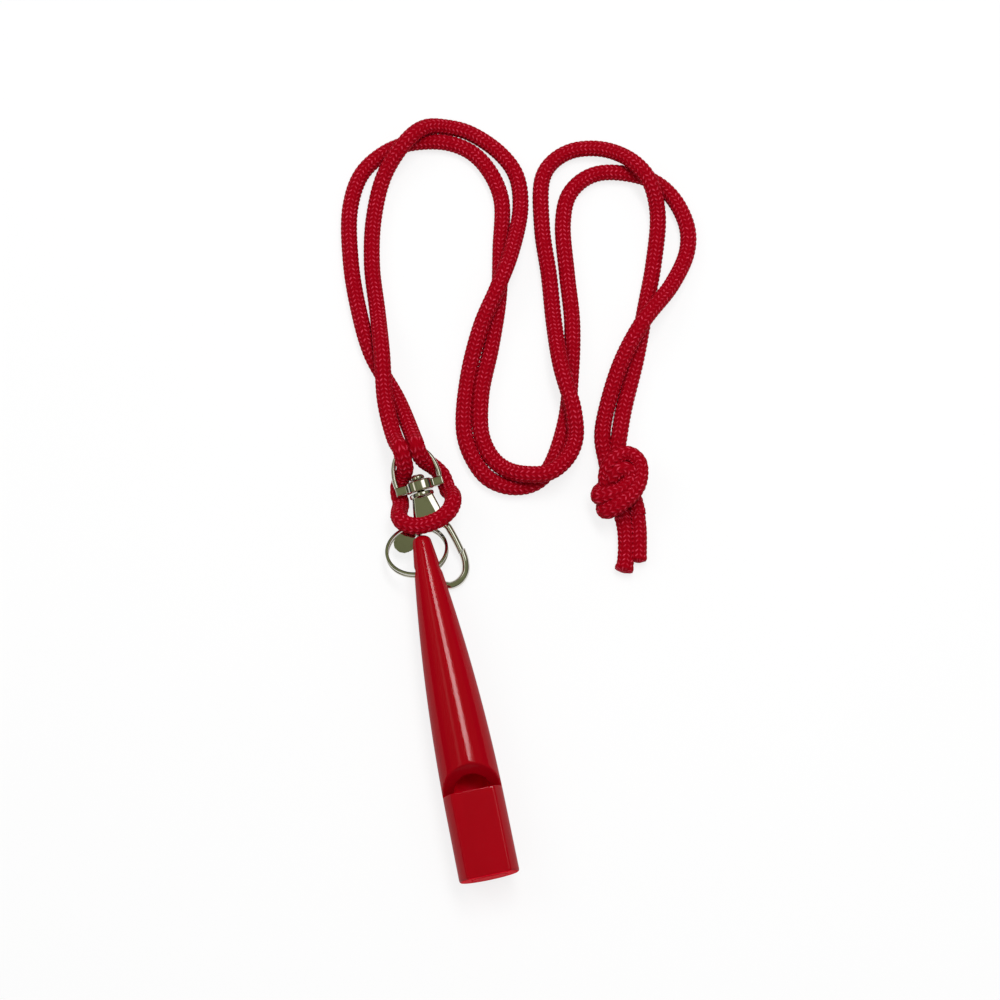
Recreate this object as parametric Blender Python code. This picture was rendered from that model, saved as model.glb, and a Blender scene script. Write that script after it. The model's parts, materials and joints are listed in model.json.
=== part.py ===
"""Dog whistle on a split ring, with a swivel trigger hook and a knotted cord lanyard.

Metres, +Z up. The whistle lies along Y with its window up and its mouth at low Y.
Its tail rests on the hook, and the cord lies in loose loops on the same surface.
The layout empty stands on the surface under the whistle's ring hole.
"""
import math

import bmesh
import bpy
from mathutils import Matrix, Vector

for item in list(bpy.data.objects):
    bpy.data.objects.remove(item, do_unlink=True)

MM = 0.001

# Whistle
WHISTLE_LENGTH = 0.0820
WHISTLE_RADIUS = 0.00695
STRAIGHT_LENGTH = 0.0155
TAIL_RADIUS = 0.00202
TAIL_DOME_LENGTH = 0.0016
MOUTH_EDGE = 0.0005
BORE_RADIUS = 0.0041
ROOF_WALL = 0.0008
WINDOW_FROM_MOUTH = 0.0196
CHAMBER_LENGTH = 0.0130
RING_HOLE_RADIUS = 0.0017
RING_HOLE_FROM_TAIL = 0.0086
WINDOW_RAMP_ANGLE = math.radians(50.0)

# Fipple plug
PLUG_FIT = 0.00015
WINDWAY_HEIGHT = 0.0012

# Split ring
RING_RADIUS = 0.0072
RING_WIRE_WIDTH = 0.0008
RING_WIRE_THICKNESS = 0.0005
RING_TURN_GAP = 0.00045
RING_OFFSET = 0.0016
RING_STEP_ANGLE = math.radians(50.0)

# Swivel eye
EYE_RISE = 0.0016
EYE_BAR_WIDTH = 0.0118
EYE_BAR_DEPTH = 0.0022
EYE_BAR_THICKNESS = 0.0016
EYE_WIRE_RADIUS = 0.0006
EYE_HEIGHT = 0.0096
BOSS_RADIUS = 0.00325
BOSS_LENGTH = 0.0027

# Swivel rivet
RIVET_RADIUS = 0.00095
RIVET_HEAD_RADIUS = 0.0018
RIVET_HEAD_HEIGHT = 0.0014
RIVET_DEPTH = 0.0030
RIVET_FIT = 0.00015
SWIVEL_GAP = 0.0003

# Hook body
FLANGE_RADIUS = 0.0030
FLANGE_THICKNESS = 0.0010
NECK_RADIUS = 0.0025
NECK_LENGTH = 0.0056
PLATE_THICKNESS = 0.00075
PLATE_EDGE = 0.00045
HOOD_BACK = -0.0002
HOOD_STEP = 0.0001
HOOD_EDGE = 0.0005
HOOK_WIRE_RADIUS = 0.0009
ROOT_RADIUS = 0.0005

# Gate, with its pin and spring
GATE_THICKNESS = 0.0011
GATE_BACK = -0.0003
GATE_FIT = 0.0003
GATE_EDGE = 0.0002
PIN_RADIUS = 0.0007
PIN_HEAD_RADIUS = 0.0010
PIN_HEAD_HEIGHT = 0.00025
PIN_FIT = 0.00015
SPRING_WIRE_RADIUS = 0.0002
SPRING_LOOP_RADIUS = 0.00125
SPRING_FIT = 0.0002

# Cord
CORD_RADIUS = 0.00175
CORD_GAP = 0.0003

# Poses of the parts as they lie
HOOK_YAW = math.radians(5.05)
HOOK_PITCH = math.radians(9.3)
HOOK_FROM_HOLE = (0.0022, 0.0195)
REST_GAP = 0.0003
BOW_CLEARANCE = 0.0001

# How finely curves and rounds are cut
ROUND_SIDES = 48
ROOT_STEPS = 8
WIRE_REACH = 0.0025
WIRE_SIDES = 12

# Sizes that follow from the ones above
FLAT_HEIGHT = BORE_RADIUS + ROOF_WALL
PLUG_RADIUS = BORE_RADIUS - PLUG_FIT
PLUG_TOP = BORE_RADIUS - WINDWAY_HEIGHT
RING_THICKNESS = 2.0 * RING_WIRE_THICKNESS + RING_TURN_GAP
SWIVEL_HOLE_RADIUS = RIVET_RADIUS + RIVET_FIT
FLANGE_START = BOSS_LENGTH / 2.0 + SWIVEL_GAP
NECK_END = FLANGE_START + NECK_LENGTH
GATE_FRONT = GATE_BACK + GATE_THICKNESS
SPRING_HEIGHT = GATE_FRONT + SPRING_FIT + SPRING_WIRE_RADIUS
PLATE_BACK = SPRING_HEIGHT + SPRING_WIRE_RADIUS + SPRING_FIT
PLATE_FRONT = PLATE_BACK + PLATE_THICKNESS


def material(name, colour, roughness, metallic):
    """Make a Principled material."""
    made = bpy.data.materials.new(name)
    made.use_nodes = True
    shader = made.node_tree.nodes["Principled BSDF"]
    shader.inputs["Base Color"].default_value = (*colour, 1.0)
    shader.inputs["Roughness"].default_value = roughness
    shader.inputs["Metallic"].default_value = metallic
    return made


RED = (0.46, 0.004, 0.012)
CORD_RED = (0.36, 0.002, 0.010)
NICKEL = (0.60, 0.58, 0.52)


def empty(name, parent=None, location=(0.0, 0.0, 0.0), rotation=None):
    """Make an empty that carries the pieces of one body."""
    made = bpy.data.objects.new(name, None)
    bpy.context.scene.collection.objects.link(made)
    made.parent = parent
    made.location = location
    if rotation is not None:
        made.rotation_euler = rotation.to_euler()
    return made


def piece(name, vertices, faces, parent, look=None, smooth=math.radians(35.0)):
    """Make a closed mesh object with its faces pointing out, or a cutter if it has no look."""
    mesh = bpy.data.meshes.new(name)
    shape = bmesh.new()
    made = [shape.verts.new(vertex) for vertex in vertices]
    for face in faces:
        shape.faces.new([made[index] for index in face])
    bmesh.ops.recalc_face_normals(shape, faces=shape.faces)
    shape.to_mesh(mesh)
    shape.free()
    mesh.shade_smooth()
    mesh.set_sharp_from_angle(angle=smooth)
    item = bpy.data.objects.new(name, mesh)
    bpy.context.scene.collection.objects.link(item)
    item.parent = parent
    if look is None:
        item.hide_render = True
        item.display_type = "WIRE"
    else:
        mesh.materials.append(look)
    return item


def boolean(target, tool, operation):
    """Join a tool to the target or cut it out."""
    modifier = target.modifiers.new(tool.name, "BOOLEAN")
    modifier.operation = operation
    modifier.solver = "EXACT"
    modifier.object = tool


def cut(target, tool):
    """Cut the tool out of the target."""
    boolean(target, tool, "DIFFERENCE")


def join(target, tool):
    """Join the tool to the target."""
    boolean(target, tool, "UNION")


def lofted(rings, closed=False):
    """Vertices and faces of a skin over rings of equal count, capped unless it is closed."""
    count = len(rings[0])
    vertices = [point for ring in rings for point in ring]
    faces = []
    spans = len(rings) if closed else len(rings) - 1
    for step in range(spans):
        here = step * count
        there = (step + 1) % len(rings) * count
        for side in range(count):
            after = (side + 1) % count
            faces.append((here + side, here + after, there + after, there + side))
    if not closed:
        faces.append(tuple(reversed(range(count))))
        faces.append(tuple(range(len(vertices) - count, len(vertices))))
    return vertices, faces


def turned(profile, sides=ROUND_SIDES):
    """A solid turned about local Y from (radius, y) points."""
    rings = []
    for radius, along in profile:
        ring = []
        for side in range(sides):
            angle = math.tau * (side + 0.5) / sides
            ring.append((radius * math.cos(angle), along, radius * math.sin(angle)))
        rings.append(ring)
    return lofted(rings)


def prism(outline, low, high, inset=0.0):
    """A slab of an (x, y) outline from low to high, its top drawn in by the inset."""
    count = len(outline)
    top = []
    for index in range(count):
        before = Vector(outline[index - 1])
        here = Vector(outline[index])
        after = Vector(outline[(index + 1) % count])
        along = (after - before).normalized()
        top.append(here + inset * Vector((-along.y, along.x)))
    rings = [[(x, y, low) for x, y in outline]]
    if inset:
        rings.append([(x, y, high - inset) for x, y in outline])
    rings.append([(x, y, high) for x, y in top])
    return lofted(rings)


def box(low, high):
    """A block between two corners."""
    outline = [(low[0], low[1]), (high[0], low[1]), (high[0], high[1]), (low[0], high[1])]
    return prism(outline, low[2], high[2])


def swept(path, radius, sides=WIRE_SIDES, root=None):
    """A round wire along a path, with flat ends, grown from a root radius over its first points."""
    rings = []
    normal = None
    for index, point in enumerate(path):
        before = path[max(index - 1, 0)]
        after = path[min(index + 1, len(path) - 1)]
        along = (after - before).normalized()
        if normal is None:
            normal = along.orthogonal().normalized()
        normal = (normal - along * normal.dot(along)).normalized()
        across = along.cross(normal)
        here = radius
        if root is not None:
            here = root + (radius - root) * min(index / ROOT_STEPS, 1.0)
        ring = []
        for side in range(sides):
            angle = math.tau * side / sides
            ring.append(point + here * (math.cos(angle) * normal + math.sin(angle) * across))
        rings.append(ring)
    return lofted(rings)


def smooth_curve(points, start=None, end=None, steps=12):
    """A fine smooth curve through the points, leaving and arriving along given directions."""
    knots = [Vector(point) for point in points]
    first = (knots[1] - knots[0]).length
    last = (knots[-1] - knots[-2]).length
    lead = knots[0] - first * Vector(start) if start else 2.0 * knots[0] - knots[1]
    tail = knots[-1] + last * Vector(end) if end else 2.0 * knots[-1] - knots[-2]
    knots = [lead] + knots + [tail]
    curve = []
    for index in range(1, len(knots) - 2):
        p0, p1, p2, p3 = knots[index - 1:index + 3]
        t1 = math.sqrt((p1 - p0).length)
        t2 = t1 + math.sqrt((p2 - p1).length)
        t3 = t2 + math.sqrt((p3 - p2).length)
        for step in range(steps):
            t = t1 + (t2 - t1) * step / steps
            a1 = p0.lerp(p1, t / t1)
            a2 = p1.lerp(p2, (t - t1) / (t2 - t1))
            a3 = p2.lerp(p3, (t - t2) / (t3 - t2))
            b1 = a1.lerp(a2, t / t2)
            b2 = a2.lerp(a3, (t - t1) / (t3 - t1))
            curve.append(b1.lerp(b2, (t - t1) / (t2 - t1)))
    curve.append(knots[-2])
    return curve


def thinned(curve, turn, reach):
    """Points of a fine curve, one for each turn angle or reach, whichever comes first."""
    kept = [curve[0]]
    way = (curve[1] - curve[0]).normalized()
    for index in range(1, len(curve) - 1):
        heading = (curve[index + 1] - curve[index]).normalized()
        far = (curve[index] - kept[-1]).length >= reach
        if far or heading.angle(way) >= turn:
            kept.append(curve[index])
            way = heading
    if (curve[-1] - kept[-1]).length < 0.3 * reach and len(kept) > 2:
        kept.pop()
    kept.append(curve[-1])
    return kept


def cord_piece(name, path, look):
    """A cord tube along a path of world points."""
    data = bpy.data.curves.new(name, "CURVE")
    data.dimensions = "3D"
    data.bevel_depth = CORD_RADIUS
    data.bevel_resolution = 2
    data.use_fill_caps = True
    spline = data.splines.new("POLY")
    spline.points.add(len(path) - 1)
    for slot, point in zip(spline.points, path):
        slot.co = (*point, 1.0)
    data.materials.append(look)
    item = bpy.data.objects.new(name, data)
    bpy.context.scene.collection.objects.link(item)
    item.parent = layout
    return item


# Where the tail rests on the hook's left arm, and how the whistle then lies
TAPER_LENGTH = WHISTLE_LENGTH - STRAIGHT_LENGTH
TAPER_DROP = WHISTLE_RADIUS - TAIL_RADIUS
TAPER_ARC = (TAPER_LENGTH ** 2 + TAPER_DROP ** 2) / (2.0 * TAPER_DROP)
BOW_BOTTOM = 0.0227
BAR_HEIGHT = BOW_BOTTOM * math.sin(HOOK_PITCH) + HOOK_WIRE_RADIUS + BOW_CLEARANCE


def whistle_radius(from_mouth):
    """Outer radius of the whistle at a distance from its mouth, before the tail's dome."""
    past = max(from_mouth - STRAIGHT_LENGTH, 0.0)
    return WHISTLE_RADIUS - TAPER_ARC + math.sqrt(TAPER_ARC ** 2 - past ** 2)


def arm_top(beyond_hole):
    """Height of the top of the hook's left arm at a distance from the ring hole, towards the tail."""
    down = (HOOK_FROM_HOLE[1] - beyond_hole) / math.cos(HOOK_YAW)
    return BAR_HEIGHT - down * math.tan(HOOK_PITCH) + HOOK_WIRE_RADIUS / math.cos(HOOK_PITCH)


def axis_height(tilt, from_mouth):
    """Height of the axis when the whistle touches the surface at this tilt."""
    contact = STRAIGHT_LENGTH + TAPER_ARC * math.sin(tilt)
    drop = (from_mouth - contact) * math.sin(tilt)
    return whistle_radius(contact) * math.cos(tilt) - drop


def rest_tilt():
    """Tilt that lays the tail a rest gap above the arm while the body touches the surface."""
    low, high = 0.0, math.radians(8.0)
    hole = WHISTLE_LENGTH - RING_HOLE_FROM_TAIL
    for _ in range(60):
        middle = 0.5 * (low + high)
        least = 1.0
        for step in range(9):
            spot = WHISTLE_LENGTH - TAIL_DOME_LENGTH * (1.0 + 0.5 * step)
            tail_bottom = axis_height(middle, spot) - whistle_radius(spot)
            least = min(least, tail_bottom - arm_top(spot - hole))
        if least > REST_GAP:
            low = middle
        else:
            high = middle
    return 0.5 * (low + high)


HOLE_FROM_MOUTH = WHISTLE_LENGTH - RING_HOLE_FROM_TAIL
TILT = rest_tilt()
HOLE_HEIGHT = axis_height(TILT, HOLE_FROM_MOUTH)

# Frames of the bodies
layout = empty("layout")
whistle_frame = empty("whistle_frame", layout, (0.0, 0.0, HOLE_HEIGHT), Matrix.Rotation(-TILT, 3, "X"))
hook_turn = Matrix.Rotation(HOOK_YAW, 3, "Z") @ Matrix.Rotation(HOOK_PITCH, 3, "X")
hook_frame = empty("hook_frame", layout, (*HOOK_FROM_HOLE, BAR_HEIGHT), hook_turn)
eye_frame = empty("eye_frame", hook_frame, (0.0, EYE_RISE, 0.0))

whistle_red = material("whistle_red", RED, 0.18, 0.0)
plug_red = material("plug_red", RED, 0.25, 0.0)

# Whistle body, with local Y running from the ring hole towards the tail
MOUTH_Y = -HOLE_FROM_MOUTH
WALL_Y = MOUTH_Y + WINDOW_FROM_MOUTH
TAIL_Y = RING_HOLE_FROM_TAIL
profile = [(WHISTLE_RADIUS - MOUTH_EDGE, MOUTH_Y), (WHISTLE_RADIUS, MOUTH_Y + MOUTH_EDGE)]
TAPER_STEPS = 12
dome_start = WHISTLE_LENGTH - TAIL_DOME_LENGTH
for step in range(TAPER_STEPS + 1):
    spot = STRAIGHT_LENGTH + (dome_start - STRAIGHT_LENGTH) * step / TAPER_STEPS
    profile.append((whistle_radius(spot), MOUTH_Y + spot))
dome_radius = whistle_radius(dome_start)
for angle in (30.0, 55.0, 75.0, 86.0):
    lift = TAIL_DOME_LENGTH * math.sin(math.radians(angle))
    profile.append((dome_radius * math.cos(math.radians(angle)), TAIL_Y - TAIL_DOME_LENGTH + lift))
whistle_body = piece("whistle_body", *turned(profile), whistle_frame, whistle_red)

chamber_end = WALL_Y + CHAMBER_LENGTH
past = WHISTLE_RADIUS
bore = piece("bore", *turned([(BORE_RADIUS, MOUTH_Y - past), (BORE_RADIUS, chamber_end)]), whistle_frame)
reach = 2.0 * WHISTLE_RADIUS
ramp = reach / math.tan(WINDOW_RAMP_ANGLE)
notch_side = [(WALL_Y, 0.0), (WALL_Y + ramp, reach), (WALL_Y, reach)]
notch_rings = [[(side, y, z) for y, z in notch_side] for side in (-reach, reach)]
window = piece("window", *lofted(notch_rings), whistle_frame)
flat_low = (-reach, MOUTH_Y - past, FLAT_HEIGHT)
flat = piece("mouth_flat", *box(flat_low, (reach, WALL_Y + MOUTH_EDGE, reach)), whistle_frame)
hole_rings = []
for side in (-reach, reach):
    ring = []
    for step in range(ROUND_SIDES // 2):
        angle = math.tau * step / (ROUND_SIDES // 2)
        ring.append((side, RING_HOLE_RADIUS * math.cos(angle), RING_HOLE_RADIUS * math.sin(angle)))
    hole_rings.append(ring)
ring_hole = piece("ring_hole", *lofted(hole_rings), whistle_frame)
for tool in (bore, window, flat, ring_hole):
    cut(whistle_body, tool)

# Fipple plug, which leaves a flat windway above it
plug_form = turned([(PLUG_RADIUS, MOUTH_Y), (PLUG_RADIUS, WALL_Y)])
plug = piece("fipple_plug", *plug_form, whistle_frame, plug_red)
windway_low = (-reach, MOUTH_Y - past, PLUG_TOP)
windway = piece("windway", *box(windway_low, (reach, WALL_Y + past, reach)), whistle_frame)
cut(plug, windway)

# Split ring: a flat wire of two turns, which passes through the hole and leans on the surface
tail_at_hole = whistle_radius(HOLE_FROM_MOUTH)
chord = math.sqrt(RING_RADIUS ** 2 - RING_OFFSET ** 2)
sag = chord - math.sqrt(RING_RADIUS ** 2 - (RING_OFFSET + tail_at_hole) ** 2)
seat = chord - 0.45 * sag
ring_drop = HOLE_HEIGHT - RING_THICKNESS / 2.0 - REST_GAP / 2.0
RING_TILT = math.asin(ring_drop / (RING_RADIUS + seat))
ring_place = (-RING_OFFSET, seat * math.cos(RING_TILT), HOLE_HEIGHT - seat * math.sin(RING_TILT))
ring_frame = empty("ring_frame", layout, ring_place, Matrix.Rotation(-RING_TILT, 3, "X"))
RING_STEPS = 48
RING_START = math.radians(105.0)
ring_pitch = RING_WIRE_THICKNESS + RING_TURN_GAP
ring_length = 2.0 * math.tau - RING_STEP_ANGLE
ring_rings = []
ring_path = []
count = round(RING_STEPS * ring_length / math.tau)
for step in range(count + 1):
    angle = ring_length * step / count
    climb = (angle - (math.tau - RING_STEP_ANGLE)) / RING_STEP_ANGLE
    climb = min(max(climb, 0.0), 1.0)
    height = ring_pitch * (climb * climb * (3.0 - 2.0 * climb) - 0.5)
    turn = RING_START + angle
    outward = Vector((math.cos(turn), math.sin(turn), 0.0))
    centre = RING_RADIUS * outward + Vector((0.0, 0.0, height))
    ring_path.append(centre)
    section = []
    for across, up in ((-1.0, -1.0), (1.0, -1.0), (1.0, 1.0), (-1.0, 1.0)):
        lift = Vector((0.0, 0.0, up * RING_WIRE_THICKNESS / 2.0))
        section.append(centre + across * RING_WIRE_WIDTH / 2.0 * outward + lift)
    ring_rings.append(section)
nickel_ring = material("nickel_ring", NICKEL, 0.22, 1.0)
split_ring = piece("split_ring", *lofted(ring_rings), ring_frame, nickel_ring)
least_gap = 1.0
for index, point in enumerate(ring_path):
    for other in ring_path[index + RING_STEPS // 2:]:
        least_gap = min(least_gap, (point - other).length)
print("split ring least gap to itself, mm:", round((least_gap - RING_WIRE_THICKNESS) / MM, 3))


def along_hook(points):
    """Hook points given in millimetres as right, towards the bow, and up."""
    return [Vector((right, -down, up)) * MM for right, down, up in points]


def across_hook(points):
    """A flat hook outline given in millimetres as right and towards the bow."""
    return [(right * MM, -down * MM) for right, down in points]


# Swivel eye: a bar with a bored boss, and a wire bow that the cord passes through
nickel_eye = material("nickel_eye", NICKEL, 0.20, 1.0)
bar_high = Vector((EYE_BAR_WIDTH, EYE_BAR_DEPTH, EYE_BAR_THICKNESS)) / 2.0
swivel_eye = piece("swivel_eye", *box(-bar_high, bar_high), eye_frame, nickel_eye)
half_boss = BOSS_LENGTH / 2.0
boss = piece("eye_boss", *turned([(BOSS_RADIUS, -half_boss), (BOSS_RADIUS, half_boss)], 32), eye_frame)
leg = EYE_BAR_WIDTH / 2.0 - EYE_WIRE_RADIUS
arch = [(-leg, 0.0), (-leg - 0.0001, 0.31 * EYE_HEIGHT), (-0.9 * leg, 0.63 * EYE_HEIGHT)]
arch += [(-0.6 * leg, 0.885 * EYE_HEIGHT), (0.0, EYE_HEIGHT)]
arch += [(-x, y) for x, y in reversed(arch[:-1])]
arch_path = thinned(smooth_curve([(x, y, 0.0) for x, y in arch]), math.radians(14.0), WIRE_REACH)
eye_bow = piece("eye_bow", *swept(arch_path, EYE_WIRE_RADIUS), eye_frame)
eye_hole_reach = BOSS_LENGTH
eye_hole_ends = [(SWIVEL_HOLE_RADIUS, -eye_hole_reach), (SWIVEL_HOLE_RADIUS, eye_hole_reach)]
eye_hole = piece("eye_hole", *turned(eye_hole_ends, 24), eye_frame)
join(swivel_eye, boss)
join(swivel_eye, eye_bow)
cut(swivel_eye, eye_hole)

# Swivel rivet: a domed head on the eye's side and a shank set into the hook's neck
head_seat = half_boss + SWIVEL_GAP
shank_end = -FLANGE_START - RIVET_DEPTH
rivet_profile = [(RIVET_RADIUS, shank_end), (RIVET_RADIUS, head_seat), (RIVET_HEAD_RADIUS, head_seat)]
rivet_profile.append((RIVET_HEAD_RADIUS, head_seat + 0.3 * RIVET_HEAD_HEIGHT))
for angle in (35.0, 65.0, 85.0):
    spread = RIVET_HEAD_RADIUS * math.cos(math.radians(angle))
    lift = 0.3 + 0.7 * math.sin(math.radians(angle))
    rivet_profile.append((spread, head_seat + lift * RIVET_HEAD_HEIGHT))
nickel_rivet = material("nickel_rivet", NICKEL, 0.18, 1.0)
piece("swivel_rivet", *turned(rivet_profile, 24), eye_frame, nickel_rivet)

# Hook body: a turned neck, a hood that becomes the front plate, and the wire of the bow
nickel_hook = material("nickel_hook", NICKEL, 0.22, 1.0)
neck_profile = [(FLANGE_RADIUS, -FLANGE_START), (FLANGE_RADIUS, -FLANGE_START - FLANGE_THICKNESS)]
neck_profile += [(NECK_RADIUS, -FLANGE_START - 1.4 * FLANGE_THICKNESS), (0.76 * NECK_RADIUS, -NECK_END)]
hook_body = piece("hook_body", *turned(neck_profile, 32), eye_frame, nickel_hook)
hood_outline = across_hook([(-2.4, 1.1), (-3.6, 5.5), (3.6, 5.5), (2.4, 1.1)])
hood_form = prism(hood_outline, HOOD_BACK, PLATE_FRONT - HOOD_STEP, HOOD_EDGE)
hood = piece("hook_hood", *hood_form, hook_frame)
plate_outline = across_hook([
    (-2.6, 2.9), (-3.6, 5.6), (-3.9, 7.6), (-4.4, 9.0), (-4.2, 9.9), (-2.6, 9.9),
    (-0.3, 9.6), (1.7, 9.3), (3.4, 9.2), (3.9, 7.9), (3.6, 5.6), (2.6, 2.9),
])
plate = piece("hook_plate", *prism(plate_outline, PLATE_BACK, PLATE_FRONT, PLATE_EDGE), hook_frame)
plate_middle = (PLATE_BACK + PLATE_FRONT) / 2.0 / MM
BOW_ROUTE = [
    (-3.4, 9.3, plate_middle), (-3.4, 9.9, 0.8 * plate_middle), (-3.4, 10.4, 0.4 * plate_middle),
    (-3.45, 11.2, 0.0), (-3.5, 12.4, 0.0), (-3.6, 15.0, 0.0), (-3.5, 18.0, 0.0), (-2.8, 20.6, 0.0),
    (-1.3, 22.6, 0.0), (0.5, 23.5, 0.15), (2.8, 23.1, 0.1), (4.7, 21.5, 0.0), (5.5, 18.9, 0.0),
    (5.4, 15.4, 0.0),
]
bow_path = thinned(smooth_curve(along_hook(BOW_ROUTE)), math.radians(13.0), 0.003)
bow = piece("hook_bow", *swept(bow_path, HOOK_WIRE_RADIUS, root=ROOT_RADIUS), hook_frame)
# The bow's end is cut at a slant, outer side longer, and the gate's end follows the same slant
LIP_OUTER = (6.9, 15.3)
LIP_INNER = (3.9, 17.38)
lip_outline = across_hook([LIP_INNER, LIP_OUTER, (6.9, 13.0), (3.9, 13.0)])
bow_slant = piece("bow_slant", *prism(lip_outline, -0.003, 0.0015), hook_frame)
PIVOT = Vector((0.0012, -0.0076, 0.0))
pivot_hole_radius = PIN_RADIUS + PIN_FIT
pin_sides = 20


def upright(radii, heights, sides=pin_sides):
    """A solid turned about the pivot pin's own axis."""
    rings = []
    for radius, height in zip(radii, heights):
        ring = []
        for side in range(sides):
            angle = math.tau * side / sides
            ring.append((radius * math.cos(angle), radius * math.sin(angle), height))
        rings.append(ring)
    return lofted(rings)


gate_frame = empty("gate_frame", hook_frame, PIVOT)
plate_hole = piece("plate_hole", *upright([pivot_hole_radius] * 2, [0.0, 2.0 * PLATE_FRONT]), gate_frame)
blind_hole = [(SWIVEL_HOLE_RADIUS, 0.0), (SWIVEL_HOLE_RADIUS, shank_end - SWIVEL_GAP)]
rivet_hole = piece("rivet_hole", *turned(blind_hole, 24), eye_frame)
cut(bow, bow_slant)
for tool in (hood, plate, bow):
    join(hook_body, tool)
for tool in (plate_hole, rivet_hole):
    cut(hook_body, tool)

# Gate lever: a hub on the pin, a thumb tab on the left and the gate bar on the right
nickel_gate = material("nickel_gate", NICKEL, 0.22, 1.0)
slant = (LIP_OUTER[1] - LIP_INNER[1]) / (LIP_OUTER[0] - LIP_INNER[0])
end_gap = GATE_FIT / MM * math.hypot(1.0, slant)


def gate_end(right):
    """A point of the gate's end, a gate fit away from the bow's slanted end."""
    return (right, LIP_INNER[1] + slant * (right - LIP_INNER[0]) - end_gap)


gate_outline = [
    gate_end(5.8), (4.6, 9.7), (3.4, 7.9), (2.75, 7.1), (2.2, 6.4), (1.2, 6.05), (0.3, 6.3), (-0.4, 6.9),
    (-1.9, 7.6), (-4.3, 8.2), (-5.6, 7.9), (-7.2, 8.2), (-8.8, 8.9), (-9.6, 9.9), (-9.7, 11.1),
    (-9.0, 12.2), (-7.8, 12.8), (-6.4, 12.7), (-5.2, 12.1), (-4.75, 11.3), (-4.8, 10.0), (-3.3, 9.05),
    (-1.4, 9.0), (0.2, 8.9), (1.2, 9.1), (2.2, 9.0), (3.35, 10.2), gate_end(4.6),
]
pivot_mm = (PIVOT.x / MM, -PIVOT.y / MM)
gate_local = across_hook([(right - pivot_mm[0], down - pivot_mm[1]) for right, down in gate_outline])
gate_local.reverse()
gate_form = prism(gate_local, GATE_BACK, GATE_FRONT, GATE_EDGE)
gate_lever = piece("gate_lever", *gate_form, gate_frame, nickel_gate)
hub_hole = piece("hub_hole", *upright([pivot_hole_radius] * 2, [-0.002, 0.002]), gate_frame)
cut(gate_lever, hub_hole)

# Pivot pin, with a thin head behind the hub
nickel_pin = material("nickel_pin", NICKEL, 0.25, 1.0)
pin_head_front = GATE_BACK - PIN_FIT
pin_radii = [PIN_HEAD_RADIUS, PIN_HEAD_RADIUS, PIN_RADIUS, PIN_RADIUS]
pin_heights = [pin_head_front - PIN_HEAD_HEIGHT, pin_head_front, pin_head_front, PLATE_FRONT]
piece("gate_pivot_pin", *upright(pin_radii, pin_heights), gate_frame, nickel_pin)

# Gate spring: an open loop of wire round the pin, between the hub and the front plate
spring_route = [(-0.0037, 0.0013), (-0.0009, 0.0013)]
for step in range(7):
    angle = math.radians(90.0 - 32.0 * step)
    spring_route.append((SPRING_LOOP_RADIUS * math.cos(angle), SPRING_LOOP_RADIUS * math.sin(angle)))
spring_route += [(-0.0016, -0.0011), (-0.0034, -0.0012)]
spring_points = [(x, y, SPRING_HEIGHT) for x, y in spring_route]
spring_path = thinned(smooth_curve(spring_points), math.radians(20.0), 0.002)
spring_steel = material("spring_steel", (0.35, 0.35, 0.36), 0.3, 1.0)
piece("gate_spring", *swept(spring_path, SPRING_WIRE_RADIUS, 8), gate_frame, spring_steel)

# Cord: a hitch loop over the hook, two strands to the knot, and two tails
cord_look = material("cord_red", CORD_RED, 0.7, 0.0)
hook_pose = Matrix.Translation((*HOOK_FROM_HOLE, BAR_HEIGHT)) @ hook_turn.to_4x4()
eye_pose = hook_pose @ Matrix.Translation((0.0, EYE_RISE, 0.0))
bow_way = hook_turn @ Vector((0.0, -1.0, 0.0))
LEAD = 0.0006
SPLIT = FLANGE_START / MM + 0.1
LOOP_ROUTE = [
    (-5.3, SPLIT + 0.6, -2.5), (-5.9, 3.6, -1.9), (-6.5, 4.8, -0.2), (-6.8, 6.0, 1.9), (-6.3, 7.7, 3.7),
    (-4.7, 9.1, 4.5), (-2.4, 9.9, 4.7), (0.0, 10.0, 4.8), (2.7, 9.4, 4.7), (5.0, 8.3, 4.1), (6.6, 6.7, 2.9),
    (7.1, 5.0, 1.0), (6.9, 3.9, -0.8), (6.1, 3.1, -2.0), (5.3, SPLIT + 0.6, -2.5),
]
loop_curve = smooth_curve([eye_pose @ p for p in along_hook(LOOP_ROUTE)], bow_way, -bow_way)
loop_path = thinned(loop_curve, math.radians(20.0), 0.008)
loop_ends = (loop_path[0] - LEAD * bow_way, loop_path[-1] - LEAD * bow_way)
cord_piece("cord_hitch_loop", [loop_ends[0], *loop_path, loop_ends[1]], cord_look)

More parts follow.
